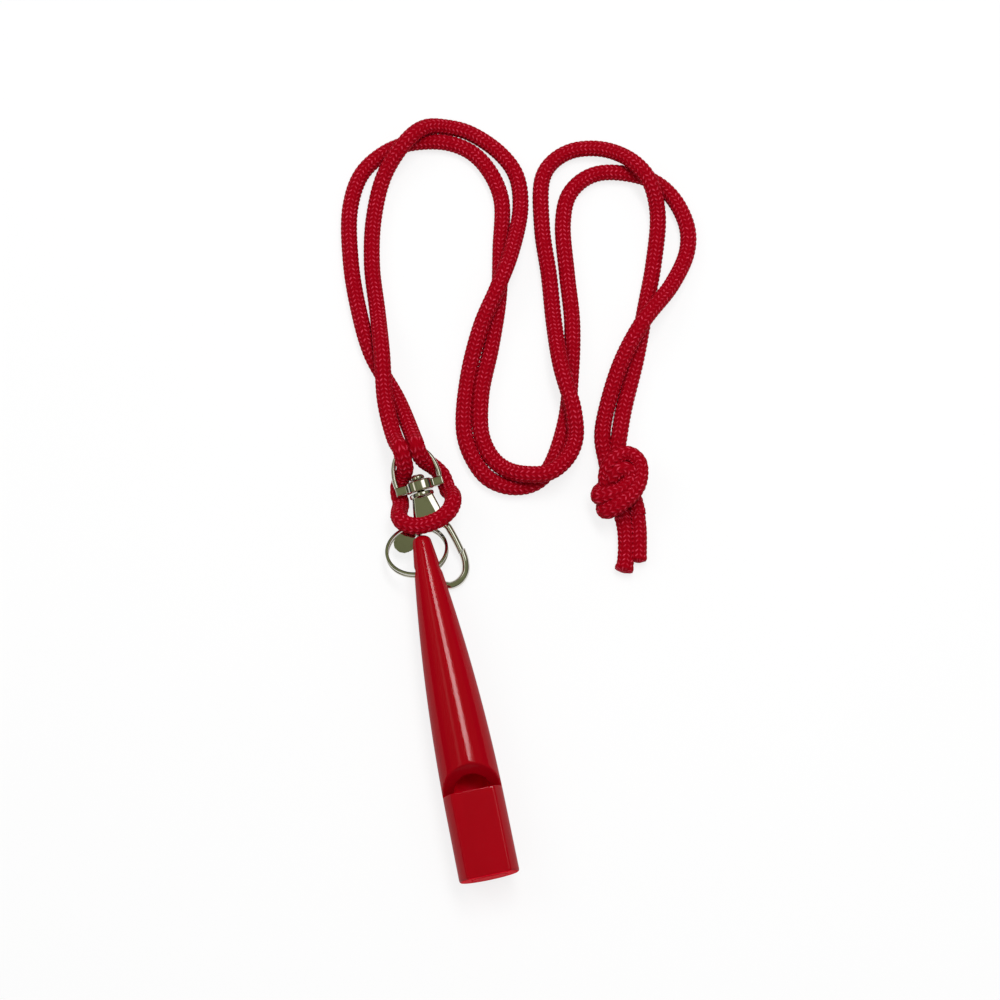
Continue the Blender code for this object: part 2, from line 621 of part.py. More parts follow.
STRAND_START = [(5.3, SPLIT - CORD_GAP / MM - 0.6, -2.68), (4.8, -1.6, -2.82), (3.2, -3.7, -1.5)]
STRAND_START += [(2.15, -5.0, 0.4), (1.95, -7.2, 2.3), (1.95, -9.5, 2.95)]
LEFT_ROUTE = [
    (-1.5, 33.5, 7.0), (-2.0, 43.5, 5.6), (-0.5, 56.0, 6.2), (0.5, 68.5, 2.5), (1.5, 81.5, 2.0),
    (4.5, 94.5, 2.0), (9.5, 105.0, 3.5), (17.0, 112.0, 6.0), (22.0, 115.0, 4.5), (27.0, 115.0, 2.5),
    (32.5, 112.5, 2.0), (39.0, 105.5, 2.0), (42.0, 98.5, 2.0), (41.5, 90.0, 2.0), (36.5, 77.0, 4.9),
    (31.0, 67.5, 6.3), (25.0, 59.0, 4.5), (19.0, 46.5, 2.0), (15.5, 33.0, 2.0), (16.5, 25.5, 2.0),
    (19.0, 20.5, 2.0), (23.5, 17.5, 2.0), (29.0, 17.0, 2.0), (33.5, 19.5, 2.0), (40.0, 30.0, 2.0),
    (44.5, 43.5, 2.0), (47.5, 56.0, 2.0), (49.0, 69.0, 2.0), (51.0, 83.0, 2.0), (54.0, 90.0, 2.0),
    (58.5, 93.5, 2.0), (63.5, 94.5, 2.0), (71.0, 92.5, 2.0), (76.5, 89.0, 2.0), (80.0, 83.5, 2.0),
    (81.5, 75.5, 2.0), (80.0, 69.0, 2.0), (74.0, 60.5, 3.5), (64.0, 51.0, 6.2), (56.5, 42.0, 4.3),
    (50.0, 30.0, 2.0), (48.3, 25.0, 2.5),
]
RIGHT_ROUTE = [
    (3.0, 32.5, 7.0), (1.0, 45.0, 2.2), (-3.0, 58.0, 2.0), (-4.0, 71.0, 2.0), (-3.5, 84.0, 2.0),
    (-1.0, 98.0, 2.0), (3.5, 106.5, 2.0), (10.0, 111.0, 2.0), (16.5, 112.5, 2.0), (26.0, 111.0, 2.0),
    (32.0, 107.0, 2.0), (35.5, 101.0, 2.0), (37.0, 92.5, 2.0), (34.0, 79.0, 2.0), (31.0, 66.5, 2.0),
    (26.5, 54.0, 2.0), (21.5, 42.0, 2.0), (19.5, 31.5, 2.0), (21.0, 25.0, 2.5), (24.0, 21.0, 4.0),
    (28.5, 18.5, 5.8), (33.5, 18.0, 5.8), (38.5, 21.0, 4.9), (41.5, 25.5, 4.5), (42.5, 32.0, 5.8),
    (42.0, 44.0, 5.5), (43.0, 56.5, 2.5), (44.5, 69.5, 2.0), (45.5, 82.5, 2.0), (48.5, 96.0, 2.0),
    (52.0, 100.0, 2.0), (57.0, 102.0, 2.0), (62.5, 101.5, 2.5), (67.5, 99.0, 3.5), (72.0, 93.5, 5.8),
    (74.5, 88.0, 5.5), (75.0, 80.5, 2.5), (71.0, 67.5, 2.0), (66.0, 55.5, 2.0), (61.0, 43.5, 2.0),
    (55.0, 31.0, 2.0), (52.2, 24.0, 2.5),
]
LEFT_TAIL = [(48.7, 4.1, 2.4), (48.3, 0.5, 2.0), (47.3, -3.0, 1.9), (46.0, -7.0, 1.9), (45.0, -9.0, 1.9)]
RIGHT_TAIL = [(52.7, 4.6, 2.4), (52.2, 0.5, 2.0), (51.3, -3.0, 1.9), (50.3, -6.2, 1.9), (49.9, -7.3, 1.9)]


KNOT_WAY = Vector((-0.25, -0.968, 0.0))


def strand(name, side, route):
    """A strand from the hitch, through the eye's bow and along its route to the knot."""
    start = [(side * right, down, up) for right, down, up in STRAND_START]
    points = [eye_pose @ p for p in along_hook(start)]
    points += [Vector(point) * MM for point in route]
    curve = smooth_curve(points, -bow_way, KNOT_WAY)
    path = thinned(curve, math.radians(20.0), 0.0105)
    ends = (path[0] + LEAD * bow_way, path[-1] + LEAD * KNOT_WAY)
    cord_piece(name, [ends[0], *path, ends[1]], cord_look)
    return curve


left_curve = strand("cord_strand_left", -1.0, LEFT_ROUTE)
right_curve = strand("cord_strand_right", 1.0, RIGHT_ROUTE)
for name, route in (("cord_tail_left", LEFT_TAIL), ("cord_tail_right", RIGHT_TAIL)):
    tail_curve = smooth_curve([Vector(point) * MM for point in route])
    cord_piece(name, thinned(tail_curve, math.radians(15.0), 0.004), cord_look)

# Knot: both strands run through it, and the doubled cord wraps round them
CORE_ROUTE = [(50.0, 23.6, 3.4), (48.7, 17.0, 3.6), (49.0, 10.0, 3.6), (50.6, 5.3, 3.4)]
WRAP_ROUTE = [
    (44.3, 7.4, 3.6), (47.0, 8.4, 6.2), (51.0, 10.2, 6.8), (53.6, 13.6, 5.8), (52.8, 17.6, 5.4),
    (49.6, 18.6, 6.6), (46.8, 15.8, 6.0), (45.6, 12.4, 4.2),
]
core_path = thinned(smooth_curve([Vector(p) * MM for p in CORE_ROUTE]), math.radians(12.0), 0.004)
wrap_path = thinned(smooth_curve([Vector(p) * MM for p in WRAP_ROUTE]), math.radians(18.0), 0.004)
KNOT_MIDDLE = Vector((49.8, 13.4, 5.0)) * MM
ball_rings = []
for step in range(1, 10):
    lift = math.radians(-90.0 + 18.0 * step)
    ring = []
    for side in range(WIRE_SIDES):
        angle = math.tau * side / WIRE_SIDES
        way = Vector((math.cos(angle) * math.cos(lift), math.sin(angle) * math.cos(lift), math.sin(lift)))
        ring.append(KNOT_MIDDLE + 2.1 * CORD_RADIUS * way)
    ball_rings.append(ring)
knot_vertices = []
knot_faces = []
core_form = swept(core_path, 1.85 * CORD_RADIUS)
wrap_form = swept(wrap_path, 1.35 * CORD_RADIUS)
for vertices, faces in (core_form, wrap_form, lofted(ball_rings)):
    first = len(knot_vertices)
    knot_vertices += vertices
    knot_faces += [tuple(first + index for index in face) for face in faces]
cord_knot = piece("cord_knot", knot_vertices, knot_faces, layout, cord_look)
skin = cord_knot.modifiers.new("skin", "REMESH")
skin.mode = "VOXEL"
skin.voxel_size = 0.4 * CORD_RADIUS

# The origin lies on the surface, under the middle of everything but the cord
bpy.context.view_layer.update()
graph = bpy.context.evaluated_depsgraph_get()
corners = []
for item in bpy.context.scene.objects:
    if item.type == "MESH" and not item.hide_render and not item.name.startswith("cord_"):
        shown = item.evaluated_get(graph)
        for vertex in shown.data.vertices:
            corners.append(shown.matrix_world @ vertex.co)
low = Vector([min(corner[axis] for corner in corners) for axis in range(3)])
high = Vector([max(corner[axis] for corner in corners) for axis in range(3)])
layout.location = (-(low.x + high.x) / 2.0, -(low.y + high.y) / 2.0, -low.z)
bpy.context.view_layer.update()

print("tilt of whistle and ring, degrees:", round(math.degrees(TILT), 3), round(math.degrees(RING_TILT), 3))
print("layout, mm:", [round(value / MM, 3) for value in layout.location])
print("size, mm:", [round(value / MM, 2) for value in high - low])
for frame in (whistle_frame, ring_frame, hook_frame, gate_frame):
    pose = frame.matrix_world
    print(frame.name, "at mm", [round(value / MM, 3) for value in pose.translation])
    for label, column in zip("xyz", range(3)):
        print("   axis", label, [round(value, 5) for value in pose.col[column].xyz])
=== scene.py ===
"""Looks of a dog whistle on a split ring, with a swivel trigger hook and a knotted cord lanyard.

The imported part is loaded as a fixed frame. Finer pieces are built over its solids, each piece
gets its finish, and a pale floor, soft lamps and the camera are set round them.
Lengths are in metres, +Z is up, and the whistle lies along Y with its mouth at low Y.
"""
import json
import logging
import math
from dataclasses import dataclass
from enum import Enum
from typing import ClassVar, Iterable, Sequence

import bpy
from mathutils import Matrix, Vector

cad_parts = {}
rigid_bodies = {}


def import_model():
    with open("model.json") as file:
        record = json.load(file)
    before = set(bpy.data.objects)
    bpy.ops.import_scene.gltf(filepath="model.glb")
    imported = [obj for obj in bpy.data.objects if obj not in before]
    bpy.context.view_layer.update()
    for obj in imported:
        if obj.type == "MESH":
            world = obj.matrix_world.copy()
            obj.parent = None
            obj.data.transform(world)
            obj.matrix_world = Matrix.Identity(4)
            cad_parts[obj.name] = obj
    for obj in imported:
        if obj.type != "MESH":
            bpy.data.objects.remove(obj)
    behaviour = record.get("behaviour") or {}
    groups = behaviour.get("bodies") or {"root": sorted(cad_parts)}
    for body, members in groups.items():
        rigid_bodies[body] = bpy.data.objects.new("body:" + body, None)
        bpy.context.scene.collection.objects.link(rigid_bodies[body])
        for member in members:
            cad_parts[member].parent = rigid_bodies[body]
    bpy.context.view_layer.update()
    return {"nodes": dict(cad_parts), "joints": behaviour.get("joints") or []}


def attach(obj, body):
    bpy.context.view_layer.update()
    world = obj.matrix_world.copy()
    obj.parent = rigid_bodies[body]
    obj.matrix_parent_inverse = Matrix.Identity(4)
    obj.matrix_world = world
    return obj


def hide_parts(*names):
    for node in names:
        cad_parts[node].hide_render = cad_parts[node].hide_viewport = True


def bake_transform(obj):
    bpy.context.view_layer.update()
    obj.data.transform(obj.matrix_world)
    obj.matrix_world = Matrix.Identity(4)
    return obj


LOG = logging.getLogger("dog_whistle")
MM = 0.001

Form = tuple[list, list]
Outline = list[tuple[float, float]]
Route = list[tuple[float, float, float]]
Socket = bpy.types.NodeSocket


class Body(Enum):
    """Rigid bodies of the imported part."""

    LANYARD = "lanyard"
    HOOK = "hook"
    GATE = "gate"
    RING = "ring"
    WHISTLE = "whistle"


class Slot(Enum):
    """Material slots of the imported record."""

    WHISTLE_RED = "whistle_red"
    NICKEL = "nickel"
    SPRING_STEEL = "spring_steel"
    CORD_RED = "cord_red"


class WireSection(Enum):
    """Cross-sections that a wire can have."""

    ROUND = "round"
    FLAT = "flat"


class Graph:
    """A node tree under construction, with short calls that add and join nodes."""

    def __init__(self, tree: bpy.types.NodeTree) -> None:
        """Work on an existing tree."""
        self.tree = tree

    @staticmethod
    def socket(sockets: Iterable, key: str | int) -> Socket:
        """Find a socket in use.

        Args:
            sockets: the inputs or outputs of a node.
            key: the socket's name, or its place among all sockets.

        Returns:
            The first enabled socket of that name, or the one at that place.
        """
        if isinstance(key, int):
            return sockets[key]
        return next(item for item in sockets if item.name == key and item.enabled)

    def add(self, kind: str, inputs: dict | None = None, **settings: object) -> bpy.types.Node:
        """Add a node.

        Args:
            kind: Blender's name of the node type.
            inputs: values or output sockets, by input name or place.
            settings: properties of the node itself.

        Returns:
            The new node.
        """
        node = self.tree.nodes.new(kind)
        for name, value in settings.items():
            setattr(node, name, value)
        for key, value in (inputs or {}).items():
            target = self.socket(node.inputs, key)
            if isinstance(value, Socket):
                self.tree.links.new(value, target)
            else:
                target.default_value = value
        return node

    def out(self, kind: str, name: str | int, inputs: dict | None = None, **settings: object) -> Socket:
        """Add a node and give one of its outputs.

        Args:
            kind: Blender's name of the node type.
            name: the output's name or place.
            inputs: values or output sockets, by input name or place.
            settings: properties of the node itself.

        Returns:
            The output socket.
        """
        return self.socket(self.add(kind, inputs, **settings).outputs, name)

    def math(self, operation: str, first: object, second: object = 0.0, third: object = 0.0) -> Socket:
        """Add a Math node and give its output."""
        inputs = {0: first, 1: second, 2: third}
        return self.out("ShaderNodeMath", 0, inputs, operation=operation)

    def mix(self, factor: object, first: object, second: object) -> Socket:
        """Add a colour Mix node and give its output."""
        inputs = {"Factor": factor, "A": first, "B": second}
        return self.out("ShaderNodeMix", "Result", inputs, data_type="RGBA")

    def seen(self) -> Socket:
        """Tell rays that show what they meet from rays that light it.

        Returns:
            1 for rays of the camera, mirrors and glass, and 0 for the others.
        """
        light = self.add("ShaderNodeLightPath")
        shown = self.math("MAXIMUM", light.outputs["Is Camera Ray"], light.outputs["Is Glossy Ray"])
        return self.math("MAXIMUM", shown, light.outputs["Is Transmission Ray"])


def rgba(colour: Sequence[float]) -> tuple[float, float, float, float]:
    """A colour with full alpha."""
    return (*colour, 1.0)


@dataclass(frozen=True)
class StitchForm:
    """How a stitch of the braid rises, along it and across its lane."""

    edge_power: float = 2.4
    edge_drop: float = 0.7
    wave_power: float = 0.75

    def relief(self, graph: Graph, turn: Socket, stitch: Socket) -> tuple[Socket, Socket, Socket]:
        """Add the nodes of the relief to a tree.

        Args:
            graph: the tree.
            turn: place round the cord, in lanes.
            stitch: place along the lane, in stitches.

        Returns:
            The wave along the stitch, the crown across it, and the relief that they make.
        """
        wave = graph.math("ABSOLUTE", graph.math("SINE", graph.math("MULTIPLY", stitch, math.pi)))
        across = graph.math("MULTIPLY_ADD", graph.math("FRACT", turn), 2.0, -1.0)
        edge = graph.math("POWER", graph.math("ABSOLUTE", across), self.edge_power)
        crown = graph.math("MULTIPLY_ADD", edge, -self.edge_drop, 1.0)
        return wave, crown, graph.math("MULTIPLY", graph.math("POWER", wave, self.wave_power), crown)


class Finish:
    """A material under construction, with the calls that all finishes share."""

    def __init__(self, name: str, **constants: object) -> None:
        """Start a Principled material.

        Args:
            name: the material's name.
            constants: values that are the same all over, by socket name with underscores.
        """
        self.material = bpy.data.materials.new(name)
        self.material.use_nodes = True
        self.graph = Graph(self.material.node_tree)
        self.shader = self.material.node_tree.nodes["Principled BSDF"]
        for key, value in constants.items():
            self.shader.inputs[key.replace("_", " ")].default_value = value
        self.place = self.graph.out("ShaderNodeTexCoord", "Object")

    def link(self, name: str, output: Socket) -> None:
        """Feed one of the shader's inputs."""
        self.graph.tree.links.new(output, self.shader.inputs[name])

    def noise(self, size: float, detail: float = 3.0, stretch: Sequence[float] = (1.0, 1.0, 1.0)) -> Socket:
        """Noise over the piece.

        Args:
            size: length of its features, in metres.
            detail: octaves of finer noise.
            stretch: how many times longer the features are along each axis.

        Returns:
            The noise's value output.
        """
        scale = tuple(1.0 / (size * factor) for factor in stretch)
        spot = self.graph.out("ShaderNodeMapping", 0, {"Vector": self.place, "Scale": scale})
        values = {"Vector": spot, "Scale": 1.0, "Detail": detail, "Roughness": 0.55}
        return self.graph.out("ShaderNodeTexNoise", 0, values)

    def spread(self, value: object, low: float, high: float, start: float = 0.3,
               end: float = 0.7) -> Socket:
        """Stretch part of a value's range over another range.

        Args:
            value: the value's socket.
            low: result at the range's start.
            high: result at the range's end.
            start: value at which the range starts.
            end: value at which the range ends.

        Returns:
            The result's socket.
        """
        inputs = {"Value": value, "From Min": start, "From Max": end, "To Min": low, "To Max": high}
        return self.graph.out("ShaderNodeMapRange", 0, inputs)

    def bump(self, height: object, strength: float, depth: float) -> None:
        """Give the surface a relief of that depth in metres."""
        inputs = {"Height": height, "Strength": strength, "Distance": depth}
        self.link("Normal", self.graph.out("ShaderNodeBump", 0, inputs))


@dataclass(frozen=True)
class PlasticFinish:
    """Moulded and polished plastic with faint flow marks and handling scuffs."""

    name: str = "whistle_plastic"
    colour: tuple[float, float, float] = (0.332, 0.0003, 0.0060)
    deep: tuple[float, float, float] = (0.298, 0.0002, 0.0048)
    gloss: tuple[float, float] = (0.22, 0.40)
    skin: float = 0.26
    skin_gloss: float = 0.12
    skin_index: float = 1.5
    flow: float = 9.0 * MM
    scuff: float = 0.5 * MM
    ripple: float = 1.3 * MM
    ripple_depth: float = 0.03 * MM

    def material(self) -> bpy.types.Material:
        """Build the material.

        Returns:
            The plastic.
        """
        made = Finish(self.name, Specular_IOR_Level=0.0, Coat_Weight=self.skin,
                      Coat_Roughness=self.skin_gloss, Coat_IOR=self.skin_index)
        flow = made.noise(self.flow, 2.0, (1.0, 4.0, 1.0))
        colour = made.graph.mix(made.spread(flow, 0.0, 1.0), rgba(self.deep), rgba(self.colour))
        made.link("Base Color", colour)
        scuff = made.noise(self.scuff, 4.0, (1.0, 14.0, 1.0))
        made.link("Roughness", made.spread(scuff, *self.gloss))
        made.bump(made.noise(self.ripple, 3.0), 0.10, self.ripple_depth)
        return made.material


@dataclass(frozen=True)
class NickelFinish:
    """Bright nickel plate over a casting or wire, with fine rubbing marks and a little tarnish."""

    name: str = "nickel_plate"
    colour: tuple[float, float, float] = (0.66, 0.64, 0.58)
    tarnish: tuple[float, float, float] = (0.47, 0.45, 0.38)
    gloss: tuple[float, float] = (0.03, 0.08)
    grain: float = 0.16 * MM
    stain: float = 2.2 * MM
    ripple: float = 0.9 * MM
    ripple_depth: float = 0.02 * MM

    def material(self) -> bpy.types.Material:
        """Build the material.

        Returns:
            The plated metal.
        """
        made = Finish(self.name, Metallic=1.0)
        stain = made.spread(made.noise(self.stain, 4.0), 0.0, 0.75, 0.52, 0.75)
        made.link("Base Color", made.graph.mix(stain, rgba(self.colour), rgba(self.tarnish)))
        rub = made.noise(self.grain, 3.0, (1.0, 6.0, 1.0))
        made.link("Roughness", made.spread(rub, *self.gloss))
        made.bump(made.noise(self.ripple, 3.0), 0.12, self.ripple_depth)
        return made.material


@dataclass(frozen=True)
class BraidFinish:
    """Filament yarn of a round braid, with painted shade between the stitches and painted highlights on top
    of them.
    """

    name: str = "cord_braid"
    yarn: tuple[float, float, float] = (0.300, 0.0001, 0.0066)
    # Painted highlight: a lighter pink red laid on the crests of some stitches.
    bright: tuple[float, float, float] = (0.62, 0.048, 0.092)
    # Painted shade: a darker red for the grooves between the stitches.
    groove_painted_shade: tuple[float, float, float] = (0.275, 0.0001, 0.0046)
    highlight_wave: tuple[float, float] = (0.80, 0.99)
    highlight_crown: tuple[float, float] = (0.74, 0.97)
    least_highlight: float = 0.10
    gloss: tuple[float, float] = (0.42, 0.62)
    fuzz: float = 0.25 * MM
    depth: float = 0.16 * MM

    def material(self) -> bpy.types.Material:
        """Build the material.

        Returns:
            The braid.
        """
        made = Finish(self.name, Sheen_Weight=0.01, Sheen_Roughness=0.4, Sheen_Tint=(1.0, 0.1, 0.2, 1.0),
                      Specular_IOR_Level=0.02)
        graph = made.graph
        turn = graph.out("ShaderNodeAttribute", "Fac", attribute_name="turn")
        stitch = graph.out("ShaderNodeAttribute", "Fac", attribute_name="stitch")
        wave, crown, relief = StitchForm().relief(graph, turn, stitch)
        # Painted shade: the base colour darkens to the groove red where the relief is low, between the
        # stitches.
        body = graph.mix(made.spread(relief, 0.0, 1.0, 0.1, 0.6), rgba(self.groove_painted_shade), rgba(self.yarn))
        place = {0: graph.math("FLOOR", turn), 1: graph.math("FLOOR", stitch)}
        cell = graph.out("ShaderNodeCombineXYZ", 0, place)
        luck = graph.out("ShaderNodeTexWhiteNoise", 0, {"Vector": cell}, noise_dimensions="2D")
        # Painted highlight: the crests of the stitches, more on some than on others at random, take the pink
        # highlight colour.
        ridge = made.spread(wave, 0.0, 1.0, *self.highlight_wave)
        ridge = graph.math("MULTIPLY", ridge, made.spread(crown, 0.0, 1.0, *self.highlight_crown))
        highlight_share = graph.math("MULTIPLY", ridge, made.spread(luck, self.least_highlight, 1.0, 0.0, 1.0))
        made.link("Base Color", graph.mix(highlight_share, body, rgba(self.bright)))
        fuzz = made.noise(self.fuzz, 3.0)
        made.link("Roughness", made.spread(fuzz, *self.gloss))
        made.bump(graph.math("MULTIPLY_ADD", fuzz, 0.25, relief), 0.5, self.depth)
        return made.material


@dataclass(frozen=True)
class FloorFinish:
    """White table that keeps a faint shadow and looks white to the camera and in reflections."""

    name: str = "table_white"
    shadow: float = 0.20
    pale: tuple[float, float, float] = (0.91, 0.91, 0.91)
    paler: tuple[float, float, float] = (0.93, 0.93, 0.93)
    cloud: float = 60.0 * MM

    def material(self) -> bpy.types.Material:
        """Build the material.

        Returns:
            The table's white.
        """
        made = Finish(self.name, Roughness=0.8)
        graph = made.graph
        cloud = made.spread(made.noise(self.cloud, 2.0), 0.0, 1.0)
        made.link("Base Color", graph.mix(cloud, rgba(self.pale), rgba(self.paler)))
        share = graph.math("MULTIPLY", graph.seen(), 1.0 - self.shadow)
        glow = graph.out("ShaderNodeEmission", 0, {"Color": rgba((1.0,) * 3), "Strength": 1.0})
        blend = graph.out("ShaderNodeMixShader", 0, {0: share, 1: made.shader.outputs[0], 2: glow})
        end = graph.tree.nodes["Material Output"]
        graph.tree.links.new(blend, end.inputs["Surface"])
        return made.material


def piece_of(name: str, form: Form) -> bpy.types.Object:
    """Make a smooth mesh object.

    Args:
        name: the object's name.
        form: vertices and faces.

    Returns:
        The linked object, its faces pointing out.
    """
    mesh = bpy.data.meshes.new(name)
    mesh.from_pydata([tuple(point) for point in form[0]], [], form[1])
    mesh.update()
    mesh.shade_smooth()
    item = bpy.data.objects.new(name, mesh)
    bpy.context.scene.collection.objects.link(item)
    return item


def settle(item: bpy.types.Object) -> bpy.types.Object:
    """Turn an object's modifiers into plain mesh and remove them.

    Args:
        item: the object.

    Returns:
        The same object.
    """
    graph = bpy.context.evaluated_depsgraph_get()
    mesh = bpy.data.meshes.new_from_object(item.evaluated_get(graph))
    item.modifiers.clear()
    item.data = mesh
    mesh.name = item.name
    return item


def carve(item: bpy.types.Object, tool: Form) -> None:
    """Cut a form out of an object.

    Args:
        item: the object.
        tool: the form that is cut out.
    """
    cutter = piece_of("cutter", tool)
    modifier = item.modifiers.new("cut", "BOOLEAN")
    modifier.operation = "DIFFERENCE"
    modifier.solver = "EXACT"
    modifier.object = cutter
    settle(item)
    bpy.data.objects.remove(cutter)


def taken(item: bpy.types.Object) -> Form:
    """Take the form out of an object and remove the object.

    Args:
        item: the object.

    Returns:
        Its vertices and faces.
    """
    points = [vertex.co.copy() for vertex in item.data.vertices]
    faces = [tuple(face.vertices) for face in item.data.polygons]
    bpy.data.objects.remove(item)
    return points, faces


def placed(form: Form, pose: Matrix) -> Form:
    """A form at another place."""
    return [pose @ point for point in form[0]], form[1]


def soften(item: bpy.types.Object, voxel: float, passes: int) -> None:
    """Melt joined shells into one skin with rounded edges.

    Args:
        item: an object of closed shells that may overlap.
        voxel: size of the skin's cells.
        passes: smoothing passes, which set how round the edges are.
    """
    skin = item.modifiers.new("skin", "REMESH")
    skin.mode = "VOXEL"
    skin.voxel_size = voxel
    skin.use_smooth_shade = True
    smooth = item.modifiers.new("smooth", "SMOOTH")
    smooth.factor = 0.5
    smooth.iterations = passes
    settle(item)


def joined(forms: Iterable[Form]) -> Form:
    """Several forms as one.

    Args:
        forms: the forms, which may overlap.

    Returns:
        One list of vertices and one of faces.
    """
    vertices: list = []
    faces: list = []
    for points, sides in forms:
        first = len(vertices)
        vertices += points
        faces += [tuple(first + index for index in face) for face in sides]
    return vertices, faces


def lofted(rings: Sequence[Sequence]) -> Form:
    """A capped skin over rings.

    Args:
        rings: points of each ring, as many in each, anticlockwise seen from beyond the last one.

    Returns:
        Vertices and faces.
    """
    count = len(rings[0])
    vertices = [Vector(point) for ring in rings for point in ring]
    faces: list = []
    for step in range(len(rings) - 1):
        for side in range(count):
            here = step * count + side
            after = step * count + (side + 1) % count
            faces.append((here, after, after + count, here + count))
    faces.append(tuple(reversed(range(count))))
    faces.append(tuple(range(len(vertices) - count, len(vertices))))
    return vertices, faces


def turned(profile: Outline, sides: int) -> Form:
    """A solid turned about local Y.

    Args:
        profile: radius and place along Y, with Y rising.
        sides: facets round it.

    Returns:
        Vertices and faces.
    """
    rings = []
    for radius, along in profile:
        angles = [-math.tau * side / sides for side in range(sides)]
        rings.append([(radius * math.cos(turn), along, radius * math.sin(turn)) for turn in angles])
    return lofted(rings)


def slab(outline: Outline, levels: Outline) -> Form:
    """A plate with a shaped edge.

    Args:
        outline: corners in local XY, anticlockwise seen from above.
        levels: inset of the outline and height, from the back to the front.

    Returns:
        Vertices and faces.
    """
    count = len(outline)
    rings = []
    for inset, height in levels:
        ring = []
        for index in range(count):
            before = Vector(outline[index - 1])
            after = Vector(outline[(index + 1) % count])
            along = (after - before).normalized()
            spot = Vector(outline[index]) + inset * Vector((-along.y, along.x))
            ring.append((spot.x, spot.y, height))
        rings.append(ring)
    return lofted(rings)


def rod(path: Sequence[Vector], radii: Sequence[float], sides: int = 24) -> Form:
    """A round wire along a path.

    Args:
        path: the wire's middle line.
        radii: its radius at each point.
        sides: facets round it.

    Returns:
        Vertices and faces.
    """
    rings = []
    normal = (path[1] - path[0]).orthogonal().normalized()
    for index, point in enumerate(path):
        along = (path[min(index + 1, len(path) - 1)] - path[max(index - 1, 0)]).normalized()
        normal = (normal - along * normal.dot(along)).normalized()
        across = along.cross(normal)
        ring = []
        for side in range(sides):
            turn = math.tau * side / sides
            ring.append(point + radii[index] * (math.cos(turn) * normal + math.sin(turn) * across))
        rings.append(ring)
    return lofted(rings)


def smooth_curve(points: Sequence, start: Vector | None = None, end: Vector | None = None,
                 steps: int = 16) -> list[Vector]:
    """A fine smooth curve through points.

    Args:
        points: the points, in order.
        start: direction in which the curve leaves the first point.
        end: direction in which it reaches the last one.
        steps: fine points for each span.

    Returns:
        The curve's points.
    """
    knots = [Vector(point) for point in points]
    first = (knots[1] - knots[0]).length
    last = (knots[-1] - knots[-2]).length
    lead = knots[0] - first * start if start else 2.0 * knots[0] - knots[1]
    tail = knots[-1] + last * end if end else 2.0 * knots[-1] - knots[-2]
    knots = [lead] + knots + [tail]
    curve = []
    for index in range(1, len(knots) - 2):
        before, here, after, beyond = knots[index - 1:index + 3]
        at_here = math.sqrt((here - before).length)
        at_after = at_here + math.sqrt((after - here).length)
        at_beyond = at_after + math.sqrt((beyond - after).length)
        for step in range(steps):
            now = at_here + (at_after - at_here) * step / steps
            share = (now - at_here) / (at_after - at_here)
            first_leg = before.lerp(here, now / at_here)
            middle_leg = here.lerp(after, share)
            last_leg = after.lerp(beyond, (now - at_after) / (at_beyond - at_after))
            near = first_leg.lerp(middle_leg, now / at_after)
            far = middle_leg.lerp(last_leg, (now - at_here) / (at_beyond - at_here))
            curve.append(near.lerp(far, share))
    curve.append(knots[-2])
    return curve


def length_of(path: Sequence[Vector]) -> float:
    """Length of a path."""
    return sum((after - before).length for before, after in zip(path, path[1:]))


